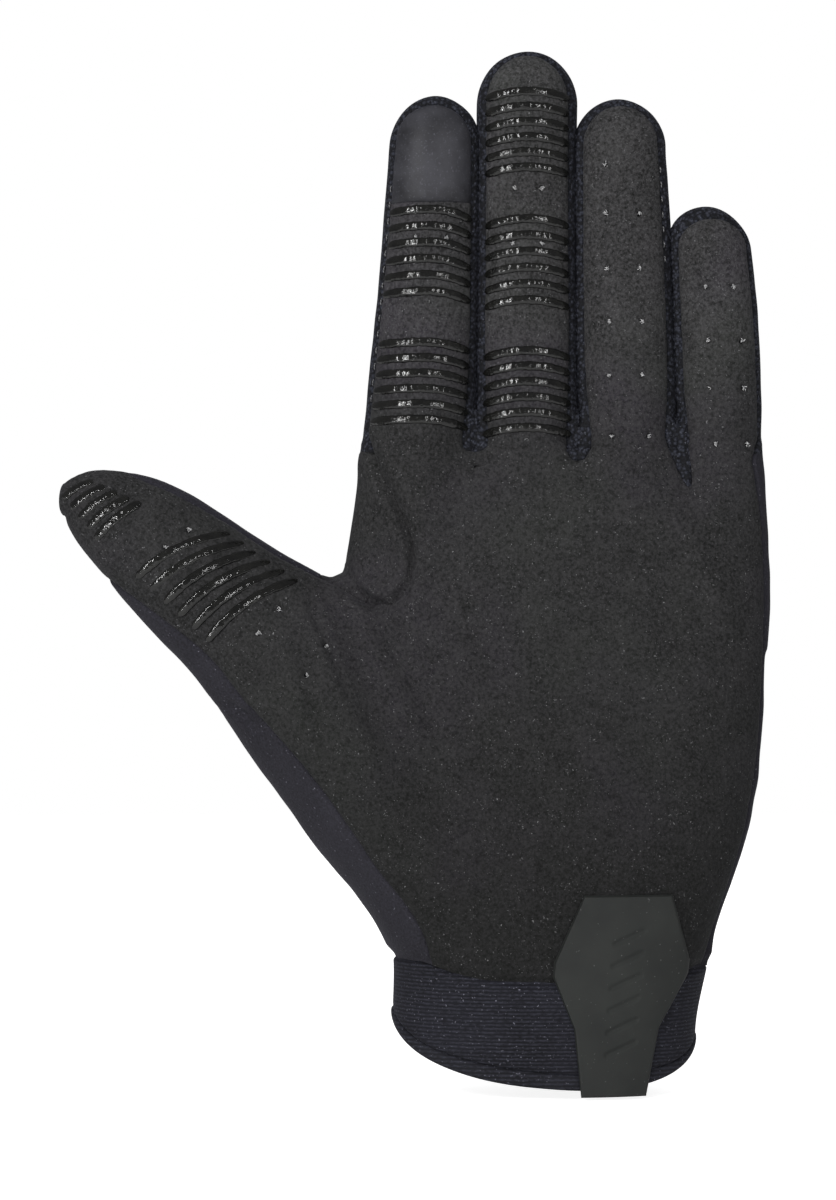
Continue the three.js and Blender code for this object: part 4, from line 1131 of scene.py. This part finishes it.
x, y, z = points.T
front = y < middle_y(x, z)
outline = suede_outline()
in_suede = np.minimum(signed_distance(x, z, outline), middle_y(x, z) + SUEDE_WRAP - y)
over_cuff = z - cuff_line(x)
gusset_area = np.concatenate([
    [(SEAM_GUSSET[-1][0] - 5, SEAM_GUSSET[0][1] + 2)], SEAM_GUSSET,
    [(SEAM_GUSSET[-1][0] - 5, SEAM_GUSSET[-1][1])],
])
in_gusset = np.minimum(signed_distance(x, z, gusset_area) + UNDERLAP + 0.2, GUSSET_DEPTH - y)
in_fork = [
    np.minimum(signed_distance(x, z, between_fingers(n)), middle_y(x, z) + FOURCHETTE_DEPTH - y)
    for n in range(3)
]
under_suede = UNDERLAP - in_suede
touch_line = PALM_LENGTH + TOUCH_START * FINGER_LENGTH[0]
index_right = (finger_x(0, z - PALM_LENGTH) + finger_x(1, z - PALM_LENGTH)) / 2
in_touch = np.minimum(z - touch_line, index_right - x)
hole_away = np.min([np.hypot(x - hx, z - hz) for hx, hz in HOLES], axis=0) - HOLE_RADIUS
off_hole = np.where(front, hole_away, 9.0)

# A table of the surface's points with the values that decide which panel they belong to
columns = [points, over_cuff, in_suede, in_gusset, *in_fork, in_touch, off_hole, under_suede]
table = np.column_stack(columns)
OVER_CUFF, IN_SUEDE, IN_GUSSET, IN_FORK, IN_TOUCH, OFF_HOLE, UNDER_SUEDE = 3, 4, 5, 6, 9, 10, 11
table, faces = split(table, faces, OVER_CUFF)
faces = faces[table[faces].mean(1)[:, OVER_CUFF] > 0]


def cut_out(columns):
    """The surface cut along some columns, and the mean values of each face."""
    cut_table, cut_faces = table, faces
    for number, column in enumerate(columns):
        cut_table, cut_faces = split(cut_table, cut_faces, column)
        if number == 0:
            cut_faces = cut_faces[cut_table[cut_faces].mean(1)[:, column] > 0]
    return cut_table, cut_faces, cut_table[cut_faces].mean(1)


suede_table, suede_faces, mean = cut_out([IN_SUEDE, IN_TOUCH, OFF_HOLE])
is_touch = mean[:, IN_TOUCH] > 0
through = mean[:, OFF_HOLE] > 0
lower_table, lower_faces, mean = cut_out([UNDER_SUEDE, IN_GUSSET, IN_FORK, IN_FORK + 1, IN_FORK + 2])
is_gusset = mean[:, IN_GUSSET] > 0
is_fork = [~is_gusset & (mean[:, IN_FORK + n] > 0) for n in range(3)]
is_back = ~is_gusset & ~np.any(is_fork, axis=0)


CUFF_PINCH, CUFF_PINCH_REACH = 1.1, 3.4  # how the panels draw in towards the cuff band


def panel(table, faces, wall=CLOTH, roll=0.6, reach=1.5, tucked=False, budget=1.0, dip=0.9):
    """Faces of the surface as a cloth panel. Its edges roll in to their seams or tuck in under the suede."""
    sheet, sheet_faces = compact(table, faces)
    under = sheet[:, IN_SUEDE]
    sheet, under, sheet_faces = weld_with(sheet[:, :3], under, sheet_faces, 0.1)
    border = sheet[np.unique(border_edges(sheet_faces))]
    away = np.clip(distance_to(sheet, border) / reach, 0, 1)
    sunk = roll * (1 - np.sqrt(1 - (1 - away) ** 2))
    # A lower panel sinks by its wall before it meets the suede's edge, and runs on below it
    if tucked:
        sunk = np.where(under > -1.2, 0, sunk) + (wall + 0.1) * smoothstep((under + dip - 0.4) / dip)
    above_cuff = sheet[:, 2] - cuff_line(sheet[:, 0])
    sunk = np.maximum(sunk, CUFF_PINCH * (1 - smoothstep(above_cuff / CUFF_PINCH_REACH)))
    sheet = sheet - vertex_normals(sheet, sheet_faces) * sunk[:, None]
    if budget < 1:
        sheet, sheet_faces = thinned(sheet, sheet_faces, budget)
    return thicken(sheet, sheet_faces, wall)


def cloth(name, made, material, node, slot):
    """A panel as a piece."""
    piece = add_piece(name, *made, [material], [node], slot, sharp=60)


palm_made = panel(suede_table, suede_faces[~is_touch & through])
touch_made = panel(suede_table, suede_faces[is_touch & through], roll=0.5)
gusset_made = panel(lower_table, lower_faces[is_gusset], roll=0.2, tucked=True, dip=2.4)
fork_made = [panel(lower_table, lower_faces[chosen], roll=0.2, reach=1.0, tucked=True) for chosen in is_fork]
back_made = panel(lower_table, lower_faces[is_back], roll=0.2, reach=1.0, tucked=True, budget=0.6)

cloth("palm_suede", palm_made, SUEDE, "palm_panel", "suede")
cloth("touch_pad", touch_made, TOUCH, "touch_patch", "touch_leather")
cloth("thumb_gusset_suede", gusset_made, SUEDE, "thumb_gusset", "suede")
for n in range(3):
    pair = f"{FINGER_NAMES[n]}_{FINGER_NAMES[n + 1]}"
    cloth(f"mesh_{pair}", fork_made[n], MESH_KNIT, f"fourchette_{pair}", "mesh_knit")

back_centres = back_made[0][back_made[1]].mean(1)
finger_middle = finger_y(back_centres[:, 2] - PALM_LENGTH)
coarse = (back_centres[:, 2] > PALM_LENGTH - 2) & (back_centres[:, 1] < finger_middle + 2.5)
back_looks = [KNIT, MESH_KNIT]
back_piece = add_piece("back_knit", *back_made, back_looks, ["back_panel"], "knit", sharp=60, which=coarse)

# Cuff band and hem

RING_SIDES = 260
BAND_TUCK = 1.3


def ring_points(z, swell):
    """Points round the wrist form at heights, one for each side, moved outwards by swell."""
    angle = np.linspace(0, 2 * math.pi, RING_SIDES, endpoint=False)
    c, s = np.cos(angle), np.sin(angle)
    low, high = LEFT_X(z), RIGHT_X(z)
    half = (high - low) / 2 + swell
    deep = np.where(s < 0, FRONT_DEPTH(z), BACK_DEPTH(z)) + swell
    power = 2 / SECTION_POWER
    x = (low + high) / 2 + half * np.sign(c) * np.abs(c) ** power
    y = deep * np.sign(s) * np.abs(s) ** power
    return x, y


def cuff_band():
    """The band from below the panels to inside the hem, with both its sides."""
    rows = 60
    sheets = []
    for side in (0, 1):
        grid = np.empty((rows + 1, RING_SIDES, 3))
        for r in range(rows + 1):
            t = r / rows
            z = np.full(RING_SIDES, 15.0)
            for _ in range(3):
                x, y = ring_points(z, 0)
                top, bottom = cuff_line(x) + BAND_TUCK, hem_top(x, y) - BAND_TUCK
                z = mix(top, bottom, t)
            edge = np.minimum(t, 1 - t) * (top - bottom)
            sunk = 1.3 * smoothstep((BAND_TUCK + 0.7 - edge) / 1.5)
            soft = waves(np.stack([x, y, z], 1), 11, 8) * 0.2
            swell = 0.35 + soft - sunk - (CLOTH if side else 0)
            x, y = ring_points(z, swell)
            grid[r] = np.stack([x, y, z], 1)
        sheets.append(grid.reshape(-1, 3))
    return shell(*sheets, grid_faces(rows + 1, RING_SIDES, closed=True)[:, ::-1])


def cuff_hem():
    """A closed fold round the rim."""
    sides = 22
    rings = []
    for k in range(sides):
        angle = 2 * math.pi * k / sides
        c, s = math.cos(angle), math.sin(angle)
        out = 0.3 - HEM_WALL / 2 + HEM_WALL / 2 * math.copysign(abs(c) ** 0.75, c)
        lift = math.copysign(abs(s) ** 0.8, s)
        z = np.full(RING_SIDES, 5.0)
        for _ in range(3):
            x, y = ring_points(z, 0)
            top, bottom = hem_top(x, y) - 0.1, rim_height(x, y)
            z = mix(bottom, top, 0.5 + 0.5 * lift)
        soft = waves(np.stack([x, y, 0 * z], 1), 9, 12) * 0.12
        x, y = ring_points(z, out + soft)
        rings.append(np.stack([x, y, z], 1))
    # The row after the last one is the first again
    quads = grid_faces(sides + 1, RING_SIDES, closed=True) % (sides * RING_SIDES)
    return np.concatenate(rings), quads


band_piece = add_piece("cuff_band_knit", *cuff_band(), [CUFF], ["cuff_band"], "cuff_knit", sharp=60)
add_piece("cuff_hem_fold", *cuff_hem(), [HEM], ["cuff_hem"], "hem_knit")

# Pull tab

TAB_WIDTH, TAB_LENGTH, TAB_FOOT_X, TAB_LEAN, TAB_THICKNESS = 31.0, 45.3, 15.6, 3.4, 1.25
# down the tab: its width and its lean, as shares
TAB_ROWS = ((0.0, 0.645, 1.0), (0.33, 1.0, 0.6), (0.4, 1.0, 0.5), (0.66, 0.624, 0.2), (1.0, 0.477, 0.0))
TAB_GROOVES = (0.2, 0.31, 0.42, 0.53, 0.64, 0.75)
TAB_GROOVE_LENGTH, TAB_GROOVE_WIDTH, TAB_GROOVE_DEPTH, TAB_GROOVE_SLANT = 7.0, 1.1, 0.35, 24
TAB_UNDERSIDE, TAB_BEVEL = 0.3, 0.45


def pull_tab():
    """A bevelled sheet of rubber on the wrist, with slanted grooves in its face."""
    rows, columns = 124, 72
    down = np.linspace(0, 1, rows)[:, None]
    across = np.linspace(-1, 1, columns)[None, :]
    keys, widths, leans = (np.array(c) for c in zip(*TAB_ROWS))
    wide = np.interp(down, keys, widths) * TAB_WIDTH / 2
    lean = np.interp(down, keys, leans) * TAB_LEAN
    x = TAB_FOOT_X + lean + across * wide
    z = 0.3 + TAB_LENGTH * (1 - down) + 0 * across
    edge = np.minimum((1 - np.abs(across)) * wide, np.minimum(down, 1 - down) * TAB_LENGTH)
    bevel = np.sqrt(1 - (1 - np.clip(edge / TAB_BEVEL, 0, 1)) ** 2)
    groove = np.zeros_like(x)
    for share in TAB_GROOVES:
        middle_x = TAB_FOOT_X + np.interp(share, keys, leans) * TAB_LEAN + 1.0
        dx, dz = x - middle_x, z - TAB_LENGTH * (1 - share)
        slant = math.radians(TAB_GROOVE_SLANT)
        along = dx * math.cos(slant) + dz * math.sin(slant)
        beside = dz * math.cos(slant) - dx * math.sin(slant)
        out = np.hypot(np.maximum(np.abs(along) - TAB_GROOVE_LENGTH / 2, 0), beside)
        groove = np.maximum(groove, smoothstep(1.4 - out / (TAB_GROOVE_WIDTH / 2)))
    lift = 0.35 + TAB_THICKNESS * (0.35 + 0.65 * bevel) - TAB_GROOVE_DEPTH * groove

    def on_form(height):
        low, high = LEFT_X(z), RIGHT_X(z)
        half, deep = (high - low) / 2 + height, FRONT_DEPTH(z) + height
        u = np.clip(np.abs((x - (low + high) / 2) / half), 0, 0.999)
        y = -deep * (1 - u**SECTION_POWER) ** (1 / SECTION_POWER)
        return np.stack([x, y, z], -1).reshape(-1, 3)

    return shell(on_form(lift), on_form(TAB_UNDERSIDE + 0 * lift), grid_faces(rows, columns)[:, ::-1])


add_piece("pull_tab_rubber", *pull_tab(), [RUBBER], ["pull_tab"], "tab_rubber", sharp=50)

# Silicone grip strips

GRIP_WIDTH, GRIP_SPAN, GRIP_HEIGHT = 2.05, 0.89, 0.46
# finger, group, count, from, to (shares of its length), drops of the ends in grip widths
FINGER_GRIPS = (
    (0, "far", 6, 0.668, 0.435, 0.3, 1.1), (0, "near", 6, 0.29, 0.07, 0.2, 1.0),
    (1, "tip", 6, 0.89, 0.7, 0.7, 0.7), (1, "far", 6, 0.57, 0.365, 0.8, 0.8),
    (1, "near", 6, 0.237, 0.042, 0.8, 0.8),
)
# group, count, bulge, then out and up of the first strip's ends and of the last one's
THUMB_GRIPS = (
    ("far", 5, 0.3, (0.978, 1.0), (0.915, 1.029), (0.909, 0.931), (0.817, 0.993)),
    ("near", 6, 1.0, (0.825, 0.866), (0.635, 0.942), (0.682, 0.76), (0.5, 0.864)),
)
STRIP_LENGTH_STEPS = 56
# across and up, as shares of a strip's half width and height
STRIP_PROFILE = ((-1.0, -0.35), (-0.98, 0.3), (-0.8, 0.72), (-0.45, 0.94), (0.0, 1.0), (0.45, 0.94),
                 (0.8, 0.72), (0.98, 0.3), (1.0, -0.35))


def strip(line, seed):
    """A raised bead of silicone on the cloth, along a line of the front view."""
    random = np.random.default_rng(seed)
    t = np.linspace(0, 1, len(line))
    points = np.column_stack([line[:, 0], front_y(line[:, 0], line[:, 1]), line[:, 1]])
    normal = outward(points)
    along = np.gradient(points, axis=0)
    along /= np.linalg.norm(along, axis=1, keepdims=True)
    side = np.cross(along, normal)
    side /= np.linalg.norm(side, axis=1, keepdims=True)
    rounded = np.sqrt(np.clip(1 - np.abs(2 * t - 1) ** 14, 0, 1))
    phase = random.uniform(0, 6, 4)
    uneven = 1 + 0.05 * np.sin(9 * t * math.pi + phase[0]) + 0.04 * np.sin(23 * t * math.pi + phase[1])
    tall = 1 + 0.1 * np.sin(13 * t * math.pi + phase[2]) + 0.08 * np.sin(31 * t * math.pi + phase[3])
    grid = []
    for across, height in STRIP_PROFILE:
        reach = across * GRIP_WIDTH / 2 * uneven * rounded
        lift = height * GRIP_HEIGHT * tall * np.maximum(rounded, 0.3)
        grid.append(points + side * reach[:, None] + normal * lift[:, None])
    rows, columns = len(STRIP_PROFILE), len(line)
    solid = np.concatenate(grid)
    quads = grid_faces(rows, columns)
    index = np.arange(rows * columns).reshape(rows, columns)
    under = np.stack([index[0, :-1], index[-1, :-1], index[-1, 1:], index[0, 1:]], 1)
    caps = []
    for k, flip in ((0, False), (columns - 1, True)):
        for r in range(rows // 2):
            quad = [index[r, k], index[r + 1, k], index[rows - 2 - r, k], index[rows - 1 - r, k]]
            caps.append(quad[::-1] if flip else quad)
    return solid, np.concatenate([quads, under, np.array(caps)])


def add_grips(name, lines, nodes, seed):
    """A group of strips as one piece."""
    made = joined([strip(line, seed + n) for n, line in enumerate(lines)])
    add_piece(name, *made, [SILICONE], nodes, "grip_silicone")


for n, group, count, start, end, left_drop, right_drop in FINGER_GRIPS:
    lines = []
    for k in range(count):
        height = mix(start, end, k / (count - 1)) * FINGER_LENGTH[n]
        step = np.linspace(-1, 1, STRIP_LENGTH_STEPS)
        drop = np.where(step < 0, left_drop, right_drop) * GRIP_WIDTH * step**2
        x = finger_x(n, height) + step * half_width(n, height) * GRIP_SPAN
        lines.append(np.stack([x, PALM_LENGTH + height - drop], 1))
    title = f"{FINGER_NAMES[n]}_{group}"
    add_grips(f"grips_{title}", lines, [f"grip_{title}_{k + 1}" for k in range(count)], 40 + 10 * n)

for group, count, bulge, first_low, first_high, last_low, last_high in THUMB_GRIPS:
    lines = []
    for k in range(count):
        ends = []
        for first, last in ((first_low, last_low), (first_high, last_high)):
            out, up = mix(np.array(first), np.array(last), k / (count - 1))
            ends.append(np.array([-out * THUMB_REACH, up * THUMB_RISE]))
        way = ends[1] - ends[0]
        way /= np.linalg.norm(way)
        step = np.linspace(-1, 1, STRIP_LENGTH_STEPS)[:, None]
        line = mix(ends[0], ends[1], (step + 1) / 2)
        lines.append(line + np.array([-way[1], way[0]]) * bulge * GRIP_WIDTH * (1 - step**2))
    add_grips(f"grips_thumb_{group}", lines, [f"grip_thumb_{group}_{k + 1}" for k in range(count)], 90)

# Threads: stitches along the seams, and frayed nap in the air holes


def tube(points, radius, sides=6):
    """A closed thread along points, with round ends."""
    points = np.asarray(points, float)
    along = np.gradient(points, axis=0)
    along /= np.linalg.norm(along, axis=1, keepdims=True)
    side = np.cross(along, [0.31, 0.87, 0.38])
    side /= np.linalg.norm(side, axis=1, keepdims=True)
    other = np.cross(along, side)
    share = np.linspace(-1, 1, len(points))
    thick = radius * np.sqrt(np.clip(1.02 - share**6, 0.02, 1))
    rings = []
    for k in range(sides):
        angle = 2 * math.pi * k / sides
        rings.append(points + (side * math.cos(angle) + other * math.sin(angle)) * thick[:, None])
    grid = np.stack(rings, 1).reshape(-1, 3)
    quads = grid_faces(len(points), sides, closed=True)
    last = (len(points) - 1) * sides
    caps = []
    for base, flip in ((0, True), (last, False)):
        for a, b, c, d in ((0, 1, 2, 3), (0, 3, 4, 5)):
            quad = [base + a, base + b, base + c, base + d]
            caps.append(quad[::-1] if flip else quad)
    return grid, np.concatenate([quads, np.array(caps)])[:, ::-1]


def stitches(line, pitch, length, lift):
    """Short threads along a line of the front view."""
    steps = np.linalg.norm(np.diff(line, axis=0), axis=1)
    gone = np.concatenate([[0], np.cumsum(steps)])
    made = []
    for start in np.arange(pitch / 2, gone[-1] - length, pitch):
        at = start + np.linspace(0, length, 7)
        x, z = np.interp(at, gone, line[:, 0]), np.interp(at, gone, line[:, 1])
        points = np.column_stack([x, front_y(x, z), z])
        arch = lift - 0.22 * np.linspace(-1, 1, 7) ** 2
        made.append(tube(points + outward(points) * arch[:, None], 0.17))
    return made


def seam_stitches():
    """The stitches that show at the outer sides of the index and ring fingers."""
    rows = []
    index_left = finger_edge(0, np.linspace(8, 62, 30), -1) - [0.15, 0]
    rows += stitches(index_left, 3.7, 1.7, -0.15)
    ring_right = finger_edge(2, np.linspace(40, 66, 20), 1) + [0.1, 0]
    rows += stitches(ring_right, 3.4, 1.5, -0.15)
    return joined(rows)


def frayed_holes():
    """Loose nap in the air holes."""
    random = np.random.default_rng(21)
    made = []
    y = front_y(HOLES[:, 0], HOLES[:, 1])
    centres = np.column_stack([HOLES[:, 0], y, HOLES[:, 1]])
    normal = outward(centres)
    for centre, out in zip(centres, normal):
        for _ in range(11):
            angle, bend = random.uniform(0, 2 * math.pi), random.normal(0, 0.2, 2)
            way = np.array([math.cos(angle), 0, math.sin(angle)])
            curl = np.array([-way[2], 0, way[0]]) * random.uniform(-0.5, 0.5)
            t = np.linspace(-1, 1, 6)[:, None] * random.uniform(0.25, 0.45)
            shift = np.array([bend[0], 0, bend[1]])
            line = centre + shift + way * t + curl * t**2 - out * (random.uniform(0.1, 0.5) + 0.5 * t**2)
            made.append(tube(line, random.uniform(0.05, 0.09)))
    return joined(made)


add_piece("seam_stitches", *seam_stitches(), [THREAD])
add_piece("hole_fray", *frayed_holes(), [FRAY], slot="suede")

# Camera, floor and light

PHOTO = (836, 1200)
MM_PER_PIXEL = 0.23
CAMERA_X, CAMERA_Z, CAMERA_AWAY = -28.4, 112.0, 1000.0


def look_at(thing, place, target):
    """Puts a camera or light at a place, facing a target, both in millimetres."""
    thing.location = [c * MM for c in place]
    way = np.subtract(target, place)
    flat = math.hypot(way[0], way[1])
    thing.rotation_euler = (math.atan2(flat, -way[2]), 0, math.atan2(-way[0], way[1]))


camera_data = bpy.data.cameras.new("camera")
camera = bpy.data.objects.new("camera", camera_data)
bpy.context.scene.collection.objects.link(camera)
look_at(camera, (CAMERA_X, -CAMERA_AWAY, CAMERA_Z), (CAMERA_X, 0, CAMERA_Z))
camera_data.lens = camera_data.sensor_width * CAMERA_AWAY / (PHOTO[1] * MM_PER_PIXEL)
bpy.context.scene.camera = camera


def softbox(name, place, width, height, power, shines):
    """A rectangular light. One that does not shine is left out of reflections."""
    data = bpy.data.lights.new(name, "AREA")
    data.shape = "RECTANGLE"
    data.size, data.size_y = width * MM, height * MM
    data.energy = power
    light = bpy.data.objects.new(name, data)
    bpy.context.scene.collection.objects.link(light)
    look_at(light, place, (0, 0, 120))
    light.visible_glossy = shines


# place, width, height, power and whether it shows in reflections
LIGHTS = {
    "key": ((-760, -1000, 220), 36, 1500, 9.0, True),
    "glint": ((520, -1100, 420), 20, 900, 2.5, True),
    "front": ((-420, -1300, 760), 420, 420, 9.0, False),
    "top": ((0, -150, 1100), 900, 700, 2.5, False),
    "rear": ((200, 1300, 600), 900, 900, 7.0, False),
}
for name, light in LIGHTS.items():
    softbox(name, *light)

FLOOR_HALF, FLOOR_FADE = 1.5, (0.5, 1.3)
FLOOR_BELOW = 0.0005


def studio_world():
    """Soft light from all sides, which the camera sees as plain white."""
    world = bpy.data.worlds.new("studio")
    world.use_nodes = True
    tree = world.node_tree
    light = tree.nodes["Background"]
    light.inputs["Color"].default_value = (0.13, 0.13, 0.135, 1)
    seen = tree.nodes.new("ShaderNodeBackground")
    seen.inputs["Color"].default_value = (1, 1, 1, 1)
    ray = tree.nodes.new("ShaderNodeLightPath")
    choose = tree.nodes.new("ShaderNodeMixShader")
    tree.links.new(ray.outputs["Is Camera Ray"], choose.inputs["Fac"])
    tree.links.new(light.outputs[0], choose.inputs[1])
    tree.links.new(seen.outputs[0], choose.inputs[2])
    tree.links.new(choose.outputs[0], tree.nodes["World Output"].inputs["Surface"])
    return world


def pale_floor():
    """A plain floor that takes soft shadows and fades into the white around it."""
    mesh = bpy.data.meshes.new("floor")
    square = np.array([(-1, -1, 0), (1, -1, 0), (1, 1, 0), (-1, 1, 0)]) * FLOOR_HALF
    mesh.from_pydata((square - [0, 0, FLOOR_BELOW]).tolist(), [], [(0, 1, 2, 3)])
    floor = bpy.data.objects.new("floor", mesh)
    bpy.context.scene.collection.objects.link(floor)
    look = Surface("floor")
    look.set(Base_Color=(0.8, 0.8, 0.8, 1), Roughness=0.9, Specular_IOR_Level=0.1)
    mesh.materials.append(look.material)
    seen = look.node("LightPath").outputs["Is Camera Ray"]
    glow = look.node("Emission", {"Color": (0.86, 0.86, 0.86, 1), "Strength": seen})
    lit = look.node("AddShader", {0: look.shader.outputs[0], 1: glow.outputs[0]})
    distance = look.node("VectorMath", {0: look.place}, operation="LENGTH").outputs["Value"]
    clear = look.node("BsdfTransparent")
    faded = {0: look.ramp(distance, *FLOOR_FADE), 1: lit.outputs[0], 2: clear.outputs[0]}
    fade = look.node("MixShader", faded)
    look.links.new(fade.outputs[0], look.nodes["Material Output"].inputs["Surface"])
    return floor


bpy.context.scene.world = studio_world()
pale_floor()
bpy.context.scene.view_settings.view_transform = "Standard"

bpy.context.view_layer.update()
